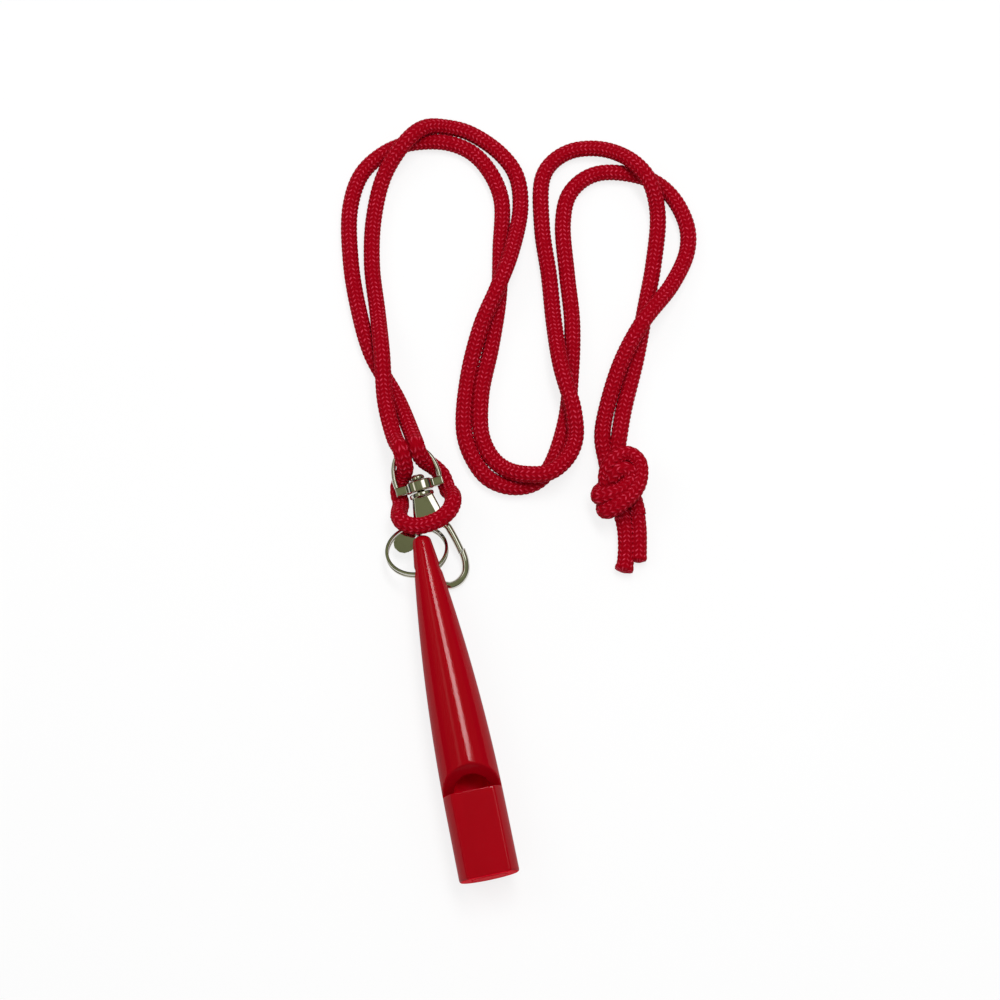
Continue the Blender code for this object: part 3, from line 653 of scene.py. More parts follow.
class PathTool:
    """A Geometry Nodes tree with named inputs that grows a mesh along a path."""

    def __init__(self, name: str) -> None:
        """Start a tree that turns an edge path into a curve.

        Args:
            name: the tree's name.
        """
        self.tree = bpy.data.node_groups.new(name, "GeometryNodeTree")
        self.graph = Graph(self.tree)
        for way in ("INPUT", "OUTPUT"):
            self.tree.interface.new_socket("Geometry", in_out=way, socket_type="NodeSocketGeometry")
        self.entry = self.graph.add("NodeGroupInput")
        self.keys: dict[str, str] = {}
        self.curve = self.graph.out("GeometryNodeMeshToCurve", 0, {0: self.entry.outputs[0]})

    def given(self, name: str, kind: str = "Float") -> Socket:
        """Add a named input.

        Args:
            name: the input's name.
            kind: Blender's name of its type.

        Returns:
            Its output in the tree.
        """
        item = self.tree.interface.new_socket(name, in_out="INPUT", socket_type=f"NodeSocket{kind}")
        self.keys[name] = item.identifier
        return self.entry.outputs[name]

    def kept(self, geometry: object, values: dict[str, object]) -> tuple:
        """Keep fields on the points of a geometry.

        Args:
            geometry: the geometry's socket.
            values: field sockets by name.

        Returns:
            The geometry's socket, then the kept fields.
        """
        node = self.graph.add("GeometryNodeCaptureAttribute", {0: geometry}, domain="POINT")
        kinds = {"VALUE": "FLOAT"}
        for name, socket in values.items():
            node.capture_items.new(kinds.get(socket.type, socket.type), name)
            self.tree.links.new(socket, node.inputs[name])
        return (node.outputs[0], *[node.outputs[name] for name in values])

    def close(self, geometry: object) -> None:
        """End the tree: smooth, real, and in the given finish.

        Args:
            geometry: the socket of the mesh that was grown.
        """
        graph = self.graph
        smooth = graph.out("GeometryNodeSetShadeSmooth", 0, {0: geometry})
        real = graph.out("GeometryNodeRealizeInstances", 0, {0: smooth})
        finish = self.given("Finish", "Material")
        dressed = graph.out("GeometryNodeSetMaterial", 0, {0: real, "Material": finish})
        graph.add("NodeGroupOutput", {0: dressed})

    def grow(self, name: str, path: Sequence[Vector], values: dict,
             girth: Sequence[float] | None = None) -> bpy.types.Object:
        """Grow a piece along a path.

        Args:
            name: the piece's name.
            path: points of the path.
            values: the tree's inputs by name.
            girth: share of the full thickness at each point.

        Returns:
            An object of plain mesh.
        """
        mesh = bpy.data.meshes.new(name)
        mesh.from_pydata([tuple(point) for point in path], [(i, i + 1) for i in range(len(path) - 1)], [])
        shares = mesh.attributes.new("girth", "FLOAT", "POINT")
        shares.data.foreach_set("value", girth or [1.0] * len(path))
        item = bpy.data.objects.new(name, mesh)
        bpy.context.scene.collection.objects.link(item)
        modifier = item.modifiers.new(name, "NODES")
        modifier.node_group = self.tree
        for key, value in values.items():
            modifier[self.keys[key]] = value
        return settle(item)


class WireTool(PathTool):
    """Grows a drawn wire along a path."""

    def __init__(self, section: WireSection) -> None:
        """Build the tree.

        Args:
            section: the wire's cross-section.
        """
        super().__init__(f"{section.value}_wire")
        graph = self.graph
        if section is WireSection.FLAT:
            sides = {"Width": self.given("Width"), "Height": self.given("Thickness")}
            square = graph.out("GeometryNodeCurvePrimitiveQuadrilateral", 0, sides)
            rounding = {"Curve": square, "Radius": self.given("Corner"), "Count": 4, "Limit Radius": True}
            profile = graph.out("GeometryNodeFilletCurve", 0, rounding, mode="POLY")
            curve = graph.out("GeometryNodeSetCurveNormal", 0, {0: self.curve}, mode="Z_UP")
        else:
            ring = {"Resolution": self.given("Sides", "Int"), "Radius": self.given("Radius")}
            profile = graph.out("GeometryNodeCurvePrimitiveCircle", 0, ring)
            curve = self.curve
        inputs = {"Curve": curve, "Profile Curve": profile, "Fill Caps": True}
        self.close(graph.out("GeometryNodeCurveToMesh", 0, inputs))


class BraidTool(PathTool):
    """Grows a round braid along a path, its stitches slanting one way and then the other round it."""

    def __init__(self) -> None:
        """Build the tree."""
        super().__init__("round_braid")
        graph = self.graph
        radius = self.given("Radius")
        spacing = self.given("Row spacing")
        sides = self.given("Sides", "Int")
        lanes = self.given("Lanes")
        pitch = self.given("Pitch")
        slant = self.given("Slant")
        depth = self.given("Relief")
        flat = self.given("Flat", "Vector")
        curve = graph.out("GeometryNodeResampleCurve", 0, {"Curve": self.curve}, mode="LENGTH")
        self.tree.links.new(spacing, graph.socket(curve.node.inputs, "Length"))
        fields = {
            "along": graph.out("GeometryNodeSplineParameter", "Length"),
            "middle": graph.out("GeometryNodeInputPosition", 0),
            "share": graph.out("GeometryNodeInputNamedAttribute", "Attribute", {"Name": "girth"}),
        }
        curve, along, middle, share = self.kept(curve, fields)
        ring = graph.out("GeometryNodeCurvePrimitiveCircle", 0, {"Resolution": sides, "Radius": 1.0})
        ring, around = self.kept(ring, {"around": graph.out("GeometryNodeSplineParameter", "Factor")})
        tube = graph.out("GeometryNodeCurveToMesh", 0, {"Curve": curve, "Profile Curve": ring,
                                                        "Scale": radius, "Fill Caps": True})
        turn = graph.math("MULTIPLY", around, lanes)
        lane = graph.math("FLOOR", turn)
        across = graph.math("FRACT", turn)
        way = graph.math("MULTIPLY_ADD", graph.math("FLOORED_MODULO", lane, 2.0), -2.0, 1.0)
        lean = graph.math("MULTIPLY", way, graph.math("SUBTRACT", across, 0.5))
        lean = graph.math("MULTIPLY", lean, slant)
        stitch = graph.math("ADD", graph.math("DIVIDE", along, pitch), lean)
        relief = StitchForm().relief(graph, turn, stitch)[2]
        height = graph.math("MULTIPLY_ADD", relief, depth, radius)
        spot = graph.out("GeometryNodeInputPosition", 0)
        arm = graph.out("ShaderNodeVectorMath", 0, {0: spot, 1: middle}, operation="SUBTRACT")
        arm = graph.out("ShaderNodeVectorMath", 0, {0: arm}, operation="NORMALIZE")
        reach = {0: arm, "Scale": graph.math("MULTIPLY", height, share)}
        arm = graph.out("ShaderNodeVectorMath", 0, reach, operation="SCALE")
        arm = graph.out("ShaderNodeVectorMath", 0, {0: arm, 1: flat}, operation="MULTIPLY")
        place = graph.out("ShaderNodeVectorMath", 0, {0: middle, 1: arm}, operation="ADD")
        for name, value in (("turn", turn), ("stitch", stitch)):
            inputs = {"Geometry": tube, "Name": name, "Value": value}
            tube = graph.out("GeometryNodeStoreNamedAttribute", 0, inputs, data_type="FLOAT", domain="POINT")
        self.close(graph.out("GeometryNodeSetPosition", 0, {"Geometry": tube, "Position": place}))


def dress(item: bpy.types.Object, finish: bpy.types.Material, body: Body, slot: Slot, *nodes: str) -> None:
    """Give a new piece its finish and body, and let it stand for solids of the part.

    Args:
        item: the piece.
        finish: its material.
        body: the body that carries it.
        slot: the record's material slot; not used.
        nodes: solids that it stands for.
    """
    item.data.materials.clear()
    item.data.materials.append(finish)
    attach(item, body.value)
    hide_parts(*nodes)
    LOG.info("%s rides on %s with %d faces", item.name, body.value, len(item.data.polygons))


def recolour(node: bpy.types.Object, finish: bpy.types.Material) -> None:
    """Give a solid of the part a better finish.

    Args:
        node: the solid's object.
        finish: its new material.
    """
    node.data.materials.clear()
    node.data.materials.append(finish)
    LOG.info("%s keeps its solid in %s", node.name, finish.name)


@dataclass
class Stance:
    """How each group of the part lies, from its joints and the angles that it was laid at."""

    joints: list
    whistle_tilt: float = math.radians(-0.806)
    ring_tilt: float = math.radians(-23.194)
    hook_yaw: float = math.radians(5.05)
    hook_pitch: float = math.radians(9.3)
    eye_rise: float = 1.6 * MM
    layout_drop: float = -0.016 * MM

    def at(self, joint: str) -> Matrix:
        """Move to a joint's place."""
        found = next(item for item in self.joints if item["name"] == joint)
        return Matrix.Translation(Vector(found["pos_m"]))

    def hook_turn(self) -> Matrix:
        """Turn of the hook."""
        return Matrix.Rotation(self.hook_yaw, 4, "Z") @ Matrix.Rotation(self.hook_pitch, 4, "X")

    def whistle(self) -> Matrix:
        """Place of the whistle, at its ring hole."""
        return self.at("whistle_tilt") @ Matrix.Rotation(self.whistle_tilt, 4, "X")

    def ring(self) -> Matrix:
        """Place of the ring, at its middle."""
        return self.at("ring_turn") @ Matrix.Rotation(self.ring_tilt, 4, "X")

    def hook(self) -> Matrix:
        """Place of the hook, on the swivel's axis."""
        return self.at("swivel_turn") @ self.hook_turn()

    def eye(self) -> Matrix:
        """Place of the swivel eye, at the middle of its bar."""
        return self.hook() @ Matrix.Translation((0.0, self.eye_rise, 0.0))

    def gate(self) -> Matrix:
        """Place of the gate, at its pivot."""
        return self.at("gate_open") @ self.hook_turn()

    def layout(self) -> Matrix:
        """Place on the table under the ring hole."""
        hole = self.at("whistle_tilt").translation
        return Matrix.Translation((hole.x, hole.y, self.layout_drop))


@dataclass
class Whistle:
    """The pipe with its mouthpiece, window, bore and ring hole."""

    pose: Matrix
    length: float = 82.0 * MM
    radius: float = 6.95 * MM
    straight: float = 15.5 * MM
    tail_radius: float = 2.02 * MM
    tail_dome: float = 1.6 * MM
    mouth_edge: float = 0.5 * MM
    bore: float = 4.1 * MM
    roof: float = 0.8 * MM
    window: float = 19.6 * MM
    ramp: float = math.radians(50.0)
    chamber: float = 13.0 * MM
    hole: float = 1.35 * MM
    hole_from_tail: float = 8.6 * MM
    sides: int = 160
    bore_sides: int = 96
    hole_sides: int = 64
    voxel: float = 0.23 * MM
    passes: int = 4
    sawn_share: float = 0.3
    bore_margin: float = 0.1 * MM

    def outer(self, from_mouth: float) -> float:
        """Outer radius of the pipe before the tail's dome.

        Args:
            from_mouth: distance from the mouth.

        Returns:
            The radius there.
        """
        run = self.length - self.straight
        drop = self.radius - self.tail_radius
        arc = (run ** 2 + drop ** 2) / (2.0 * drop)
        past = max(from_mouth - self.straight, 0.0)
        return self.radius - arc + math.sqrt(arc ** 2 - past ** 2)

    def profile(self) -> Outline:
        """Profile of the pipe, from the mouth to the tail.

        Returns:
            Radius and place along the pipe.
        """
        mouth = self.hole_from_tail - self.length
        dome = self.length - self.tail_dome
        rim_steps, side_steps, dome_steps = 6, 40, 12
        points = []
        for step in range(rim_steps + 1):
            turn = math.pi / 2.0 * step / rim_steps
            rim = self.radius - self.mouth_edge * (1.0 - math.sin(turn))
            points.append((rim, mouth + self.mouth_edge * (1.0 - math.cos(turn))))
        for step in range(side_steps + 1):
            spot = self.straight + (dome - self.straight) * step / side_steps
            points.append((self.outer(spot), mouth + spot))
        for step in range(1, dome_steps):
            turn = math.pi / 2.0 * step / dome_steps
            lift = self.tail_dome * math.sin(turn)
            points.append((self.outer(dome) * math.cos(turn), mouth + dome + lift))
        return points

    def assemble(self, finish: bpy.types.Material, cut: bpy.types.Material,
                 plug: bpy.types.Object) -> bpy.types.Object:
        """Build and dress the body, and recolour the plug.

        Args:
            finish: the polished plastic.
            cut: the matte plastic where it was never polished, its red painted lighter as painted light in
                the bore.
            plug: the part's plug, which keeps its solid.

        Returns:
            The body.
        """
        body = self.build()
        dress(body, finish, Body.WHISTLE, Slot.WHISTLE_RED, "whistle_body")
        self.dull(body, cut)
        recolour(plug, cut)
        return body

    def build(self) -> bpy.types.Object:
        """Build the body: a turned pipe with its cuts, and softened edges.

        Returns:
            The body at its place.
        """
        mouth = self.hole_from_tail - self.length
        wall = mouth + self.window
        far = 2.0 * self.radius
        body = piece_of("whistle_skin", turned(self.profile(), self.sides))
        carve(body, turned([(self.bore, mouth - far), (self.bore, wall + self.chamber)], self.bore_sides))
        notch = [(wall, 0.0), (wall + far / math.tan(self.ramp), far), (wall, far)]
        carve(body, lofted([[(side, y, z) for y, z in notch] for side in (-far, far)]))
        flat = self.bore + self.roof
        front, back = mouth - far, wall + self.mouth_edge
        corners = [(-far, front), (far, front), (far, back), (-far, back)]
        carve(body, slab(corners, [(0.0, flat), (0.0, far)]))
        soften(body, self.voxel, self.passes)
        drill = turned([(self.hole, -far), (self.hole, far)], self.hole_sides)
        carve(body, placed(drill, Matrix.Rotation(-math.pi / 2.0, 4, "Z")))
        body.data.transform(self.pose)
        return body

    def dull(self, body: bpy.types.Object, finish: bpy.types.Material) -> None:
        """Give the bore and the sawn end a second finish, matte and with its red painted lighter as painted
        light in the bore.

        Args:
            body: the whistle with its first finish.
            finish: the matte finish of what was never polished, painted lighter to stand in for light in the
                bore.
        """
        body.data.materials.append(finish)
        back = self.pose.inverted()
        mouth = self.hole_from_tail - self.length
        end = mouth + self.sawn_share * self.mouth_edge
        deep = mouth + self.window + self.chamber + self.voxel
        # Painted light: faces in the bore and on the sawn end take the lighter second finish.
        for face in body.data.polygons:
            spot = back @ face.center
            inside = math.hypot(spot.x, spot.z) < self.bore + self.bore_margin and spot.y < deep
            if inside or spot.y < end:
                face.material_index = 1


@dataclass
class SplitRing:
    """Two turns of flat wire, one above the other, with a step between them."""

    pose: Matrix
    radius: float = 7.2 * MM
    width: float = 0.8 * MM
    thickness: float = 0.5 * MM
    gap: float = 0.45 * MM
    step_angle: float = math.radians(50.0)
    start_angle: float = math.radians(105.0)
    corner: float = 0.14 * MM
    steps: int = 360

    def path(self) -> list[Vector]:
        """Middle line of the wire.

        Returns:
            Its points round the ring's own middle.
        """
        whole = 2.0 * math.tau - self.step_angle
        points = []
        for step in range(self.steps + 1):
            angle = whole * step / self.steps
            climb = (angle - (math.tau - self.step_angle)) / self.step_angle
            climb = min(max(climb, 0.0), 1.0)
            height = (self.thickness + self.gap) * (climb * climb * (3.0 - 2.0 * climb) - 0.5)
            turn = self.start_angle + angle
            points.append(Vector((self.radius * math.cos(turn), self.radius * math.sin(turn), height)))
        return points

    def assemble(self, finish: bpy.types.Material) -> None:
        """Grow the wire along its turns and dress it.

        Args:
            finish: the wire's plate.
        """
        values = {"Width": self.width, "Thickness": self.thickness, "Corner": self.corner, "Finish": finish}
        ring = WireTool(WireSection.FLAT).grow("ring_wire", self.path(), values)
        ring.data.transform(self.pose)
        dress(ring, finish, Body.RING, Slot.NICKEL, "split_ring")


def flat_points(points: Outline) -> Outline:
    """Hook outline given in millimetres as right and towards the bow."""
    return [(right * MM, -down * MM) for right, down in points]


def hook_points(points: Route) -> list[Vector]:
    """Hook points given in millimetres as right, towards the bow, and up."""
    return [Vector((right, -down, up)) * MM for right, down, up in points]


@dataclass
class SwivelEye:
    """The bar with its bored boss, the wire bow above it and the rivet through it."""

    pose: Matrix
    bar: tuple[float, float, float] = (11.8 * MM, 2.2 * MM, 1.6 * MM)
    boss_radius: float = 3.25 * MM
    boss_height: float = 2.8 * MM
    boss_square: float = 0.8
    boss_length: float = 2.7 * MM
    boss_edge: float = 0.3 * MM
    bar_edge: float = 0.25 * MM
    wire: float = 0.6 * MM
    height: float = 9.6 * MM
    hole: float = 1.1 * MM
    rivet: float = 0.95 * MM
    rivet_head: float = 1.8 * MM
    rivet_rise: float = 1.4 * MM
    rivet_depth: float = 3.0 * MM
    rivet_edge: float = 0.1 * MM
    rivet_rim: float = 0.3
    play: float = 0.3 * MM
    sides: int = 96
    hole_sides: int = 48
    rivet_sides: int = 64
    voxel: float = 0.12 * MM
    passes: int = 3

    def boss_form(self) -> Form:
        """The boss, a short barrel with a flattened front and back.

        Returns:
            Vertices and faces.
        """
        half = self.boss_length / 2.0
        rim = self.boss_edge
        rings = []
        for inset, along in ((rim, -half), (0.0, rim - half), (0.0, half - rim), (rim, half)):
            ring = []
            for step in range(self.sides):
                turn = -math.tau * step / self.sides
                side = math.copysign(abs(math.cos(turn)) ** self.boss_square, math.cos(turn))
                rise = math.copysign(abs(math.sin(turn)) ** self.boss_square, math.sin(turn))
                ring.append(((self.boss_radius - inset) * side, along, (self.boss_height - inset) * rise))
            rings.append(ring)
        return lofted(rings)

    def build(self) -> bpy.types.Object:
        """Build the eye as one casting.

        Returns:
            The eye at its place.
        """
        wide, deep, thick = (size / 2.0 for size in self.bar)
        corners = [(-wide, -deep), (wide, -deep), (wide, deep), (-wide, deep)]
        edge = self.bar_edge
        levels = [(edge, -thick), (0.0, edge - thick), (0.0, thick - edge), (edge, thick)]
        leg = wide - self.wire
        arch = [(-leg, 0.0), (-leg - 0.1 * MM, 0.31 * self.height), (-0.9 * leg, 0.63 * self.height)]
        arch += [(-0.6 * leg, 0.885 * self.height), (0.0, self.height)]
        arch += [(-x, y) for x, y in reversed(arch[:-1])]
        path = smooth_curve([(x, y, 0.0) for x, y in arch])
        forms = [slab(corners, levels), self.boss_form(), rod(path, [self.wire] * len(path))]
        eye = piece_of("eye_casting", joined(forms))
        soften(eye, self.voxel, self.passes)
        carve(eye, turned([(self.hole, -self.boss_length), (self.hole, self.boss_length)], self.hole_sides))
        eye.data.transform(self.pose)
        return eye

    def build_rivet(self) -> bpy.types.Object:
        """Build the rivet with its stepped and domed head.

        Returns:
            The rivet at its place.
        """
        seat = self.boss_length / 2.0 + self.play
        foot = -seat - self.rivet_depth
        edge = self.rivet_edge
        rim = self.rivet_rim
        steps = 12
        profile = [(self.rivet, foot), (self.rivet, seat), (self.rivet_head - edge, seat)]
        profile += [(self.rivet_head, seat + edge), (self.rivet_head, seat + rim * self.rivet_rise)]
        for step in range(1, steps):
            turn = math.pi / 2.0 * step / steps
            lift = rim + (1.0 - rim) * math.sin(turn)
            profile.append((self.rivet_head * math.cos(turn), seat + lift * self.rivet_rise))
        rivet = piece_of("rivet_head", turned(profile, self.rivet_sides))
        rivet.data.transform(self.pose)
        return rivet

    def assemble(self, finish: bpy.types.Material) -> None:
        """Build and dress the eye, and the rivet that turns in it with the hook."""
        dress(self.build(), finish, Body.LANYARD, Slot.NICKEL, "swivel_eye")
        dress(self.build_rivet(), finish, Body.HOOK, Slot.NICKEL, "swivel_rivet")


@dataclass
class HookBody:
    """The turned neck, the hood that becomes the front plate, and the wire of the bow."""

    pose: Matrix
    eye_rise: float
    flange: float = 3.0 * MM
    flange_start: float = 1.65 * MM
    flange_thickness: float = 1.0 * MM
    neck: float = 2.1 * MM
    neck_length: float = 5.6 * MM
    plate_back: float = 1.6 * MM
    plate_front: float = 2.35 * MM
    wire: float = 0.96 * MM
    root: float = 0.5 * MM
    pivot: tuple[float, float] = (1.2 * MM, -7.6 * MM)
    pivot_hole: float = 0.85 * MM
    plate_edge: float = 0.45 * MM
    flange_edge: float = 0.15 * MM
    sides: int = 96
    hole_sides: int = 48
    voxel: float = 0.12 * MM
    passes: int = 3

    # In millimetres on the hook: right, towards the bow, and up. The hood has distance and half width.
    HOOD: ClassVar[Outline] = [(7.5, 3.75), (5.0, 3.45), (3.2, 3.05), (1.1, 2.6)]
    PLATE: ClassVar[Outline] = [
        (-3.65, 6.5), (-3.9, 7.6), (-4.4, 9.0), (-4.2, 9.9), (-2.6, 9.9),
        (-0.3, 9.6), (1.7, 9.3), (3.4, 9.2), (3.9, 7.9), (3.65, 6.5),
    ]
    BOW: ClassVar[Route] = [
        (-3.45, 11.2, 0.0), (-3.5, 12.4, 0.0), (-3.6, 15.0, 0.0), (-3.5, 18.0, 0.0), (-2.8, 20.6, 0.0),
        (-1.3, 22.6, 0.0), (0.5, 23.5, 0.15), (2.8, 23.1, 0.1), (4.7, 21.5, 0.0), (5.5, 18.9, 0.0),
        (5.4, 15.4, 0.0),
    ]
    LIP: ClassVar[Outline] = [(3.9, 17.38), (6.9, 15.3), (6.9, 13.0), (3.9, 13.0)]

    def neck_form(self) -> Form:
        """The turned flange and neck.

        Returns:
            Vertices and faces.
        """
        start = self.eye_rise - self.flange_start
        thick = self.flange_thickness
        edge = self.flange_edge
        profile = [(0.76 * self.neck, start - self.neck_length), (self.neck, start - 1.4 * thick)]
        profile += [(self.flange - edge, start - thick), (self.flange, start - thick + edge)]
        profile += [(self.flange, start - edge), (self.flange - edge, start)]
        return turned(profile, self.sides)

    def hood_form(self) -> Form:
        """The hood, flat on its front with a slope to the right, and wider towards the bow.

        Returns:
            Vertices and faces.
        """
        # Heights of the section and widths of its slope and lip, in millimetres.
        left, top, foot, right, back = 1.8, 2.25, 1.94, 1.4, -0.2
        slope, lip = 1.55, 0.2
        rings = []
        for down, half in self.HOOD:
            section = [(-half, left), (-0.82 * half, top), (half - slope, top), (half - lip, foot)]
            section += [(half, right), (half, back), (-half, back)]
            rings.append([Vector((side, -down, up)) * MM for side, up in section])
        return lofted(rings)

    def bow_form(self) -> Form:
        """The wire of the bow, grown out of the front plate.

        Returns:
            Vertices and faces.
        """
        middle = (self.plate_back + self.plate_front) / 2.0 / MM
        start = [(-3.4, 9.3, middle), (-3.4, 9.9, 0.8 * middle), (-3.4, 10.4, 0.4 * middle)]
        steps = 10
        path = smooth_curve(hook_points(start + self.BOW), steps=steps)
        grown = 5.0 * steps
        radii = [self.root + (self.wire - self.root) * min(step / grown, 1.0) for step in range(len(path))]
        return rod(path, radii)

    def assemble(self, finish: bpy.types.Material) -> None:
        """Build and dress the hook."""
        dress(self.build(), finish, Body.HOOK, Slot.NICKEL, "hook_body")

    def build(self) -> bpy.types.Object:
        """Build the hook as one casting.

        Returns:
            The hook at its place.
        """
        front = self.plate_front
        edge = self.plate_edge
        levels = [(0.0, self.plate_back), (0.0, front - edge), (edge, front)]
        bow = piece_of("bow", self.bow_form())
        carve(bow, slab(flat_points(self.LIP), [(0.0, -3.0 * MM), (0.0, 1.5 * MM)]))
        plate = slab(flat_points(self.PLATE), levels)
        hook = piece_of("hook_casting", joined([self.neck_form(), self.hood_form(), plate, taken(bow)]))
        soften(hook, self.voxel, self.passes)
        centre = Matrix.Translation((*self.pivot, 0.0)) @ Matrix.Rotation(math.pi / 2.0, 4, "X")
        drill = turned([(self.pivot_hole, 0.0), (self.pivot_hole, 3.0 * front)], self.hole_sides)
        carve(hook, placed(drill, centre))
        hook.data.transform(self.pose)
        return hook


@dataclass
class Gate:
    """The lever with its thumb tab and gate bar, and the spring round its pin."""

    pose: Matrix
    back: float = -0.3 * MM
    front: float = 0.8 * MM
    edge: float = 0.28 * MM
    hole: float = 0.85 * MM
    bar: float = 0.88 * MM
    bar_up: float = 0.25 * MM
    spring_wire: float = 0.2 * MM
    spring_loop: float = 1.25 * MM
    spring_height: float = 1.2 * MM
    spring_sides: int = 16
    hole_sides: int = 48
    cut_reach: float = 3.0 * MM
    voxel: float = 0.1 * MM
    passes: int = 3

    # In millimetres: right and towards the bow on the hook, and for the spring right and away from the bow.
    PIVOT: ClassVar[tuple[float, float]] = (1.2, 7.6)
    LEVER: ClassVar[Outline] = [
        (4.2, 9.3), (3.5, 8.1), (2.75, 7.1), (2.2, 6.4), (1.2, 6.05), (0.3, 6.3), (-0.4, 6.9),
        (-1.9, 7.6), (-4.3, 8.2), (-5.6, 7.9), (-7.2, 8.2), (-8.8, 8.9), (-9.6, 9.9), (-9.7, 11.1),
        (-9.0, 12.2), (-7.8, 12.8), (-6.4, 12.7), (-5.2, 12.1), (-4.75, 11.3), (-4.8, 10.0),
        (-3.3, 9.05), (-1.4, 9.0), (0.2, 8.9), (1.2, 9.1), (2.2, 9.0), (3.3, 9.9),
    ]
    BAR: ClassVar[Outline] = [
        (2.9, 8.4), (3.8, 9.6), (4.27, 11.2), (4.77, 13.5), (5.37, 17.2),
    ]
    BAR_END: ClassVar[Outline] = [(3.5, 19.0), (7.3, 19.0), (7.3, 14.96), (3.5, 17.59)]
    SPRING_IN: ClassVar[Outline] = [(-3.7, 1.3), (-0.9, 1.3)]
    SPRING_OUT: ClassVar[Outline] = [(-1.6, -1.1), (-3.4, -1.2)]

    def from_pivot(self, points: Outline) -> Outline:
        """Hook points, still in millimetres, taken from the pivot."""
        return [(right - self.PIVOT[0], down - self.PIVOT[1]) for right, down in points]

    def build(self) -> bpy.types.Object:
        """Build the lever.

        Returns:
            The lever at its place.
        """
        local = flat_points(self.from_pivot(self.LEVER))
        local.reverse()
        levels = [(self.edge / 2.0, self.back), (0.0, self.back + self.edge / 2.0)]
        levels += [(0.0, self.front - self.edge), (self.edge, self.front)]
        lever = piece_of("gate_casting", joined([slab(local, levels), self.bar_form()]))
        soften(lever, self.voxel, self.passes)
        drill = turned([(self.hole, -self.cut_reach), (self.hole, self.cut_reach)], self.hole_sides)
        carve(lever, placed(drill, Matrix.Rotation(math.pi / 2.0, 4, "X")))
        lever.data.transform(self.pose)
        return lever

    def bar_form(self) -> Form:
        """The gate bar, a wire with its end cut on the slant of the bow's tip.

        Returns:
            Vertices and faces.
        """
        route = [(right, down, self.bar_up / MM) for right, down in self.from_pivot(self.BAR)]
        path = smooth_curve(hook_points(route))
        bar = piece_of("bar", rod(path, [self.bar] * len(path)))
        corners = flat_points(self.from_pivot(self.BAR_END))
        carve(bar, slab(corners, [(0.0, -self.cut_reach), (0.0, self.cut_reach)]))
        return taken(bar)

    def build_spring(self, finish: bpy.types.Material) -> bpy.types.Object:
        """Grow the spring's wire round the pin.

        Args:
            finish: the wire's steel.

        Returns:
            The spring at its place.
        """
        route = [(x * MM, y * MM) for x, y in self.SPRING_IN]
        first, apart, count = 90.0, 32.0, 7
        for step in range(count):
            turn = math.radians(first - apart * step)
            route.append((self.spring_loop * math.cos(turn), self.spring_loop * math.sin(turn)))
        route += [(x * MM, y * MM) for x, y in self.SPRING_OUT]
        path = smooth_curve([(x, y, self.spring_height) for x, y in route])
        values = {"Sides": self.spring_sides, "Radius": self.spring_wire, "Finish": finish}
        spring = WireTool(WireSection.ROUND).grow("spring_wire", path, values)
        spring.data.transform(self.pose)
        return spring

    def assemble(self, finish: bpy.types.Material, steel: bpy.types.Material, pin: bpy.types.Object) -> None:
        """Build and dress the lever and the spring, and recolour the pin.

        Args:
            finish: the lever's and the pin's plate.
            steel: the spring's wire.
            pin: the part's pivot pin, which keeps its solid.
        """
        dress(self.build(), finish, Body.GATE, Slot.NICKEL, "gate_lever")
        dress(self.build_spring(steel), steel, Body.HOOK, Slot.SPRING_STEEL, "gate_spring")
        recolour(pin, finish)


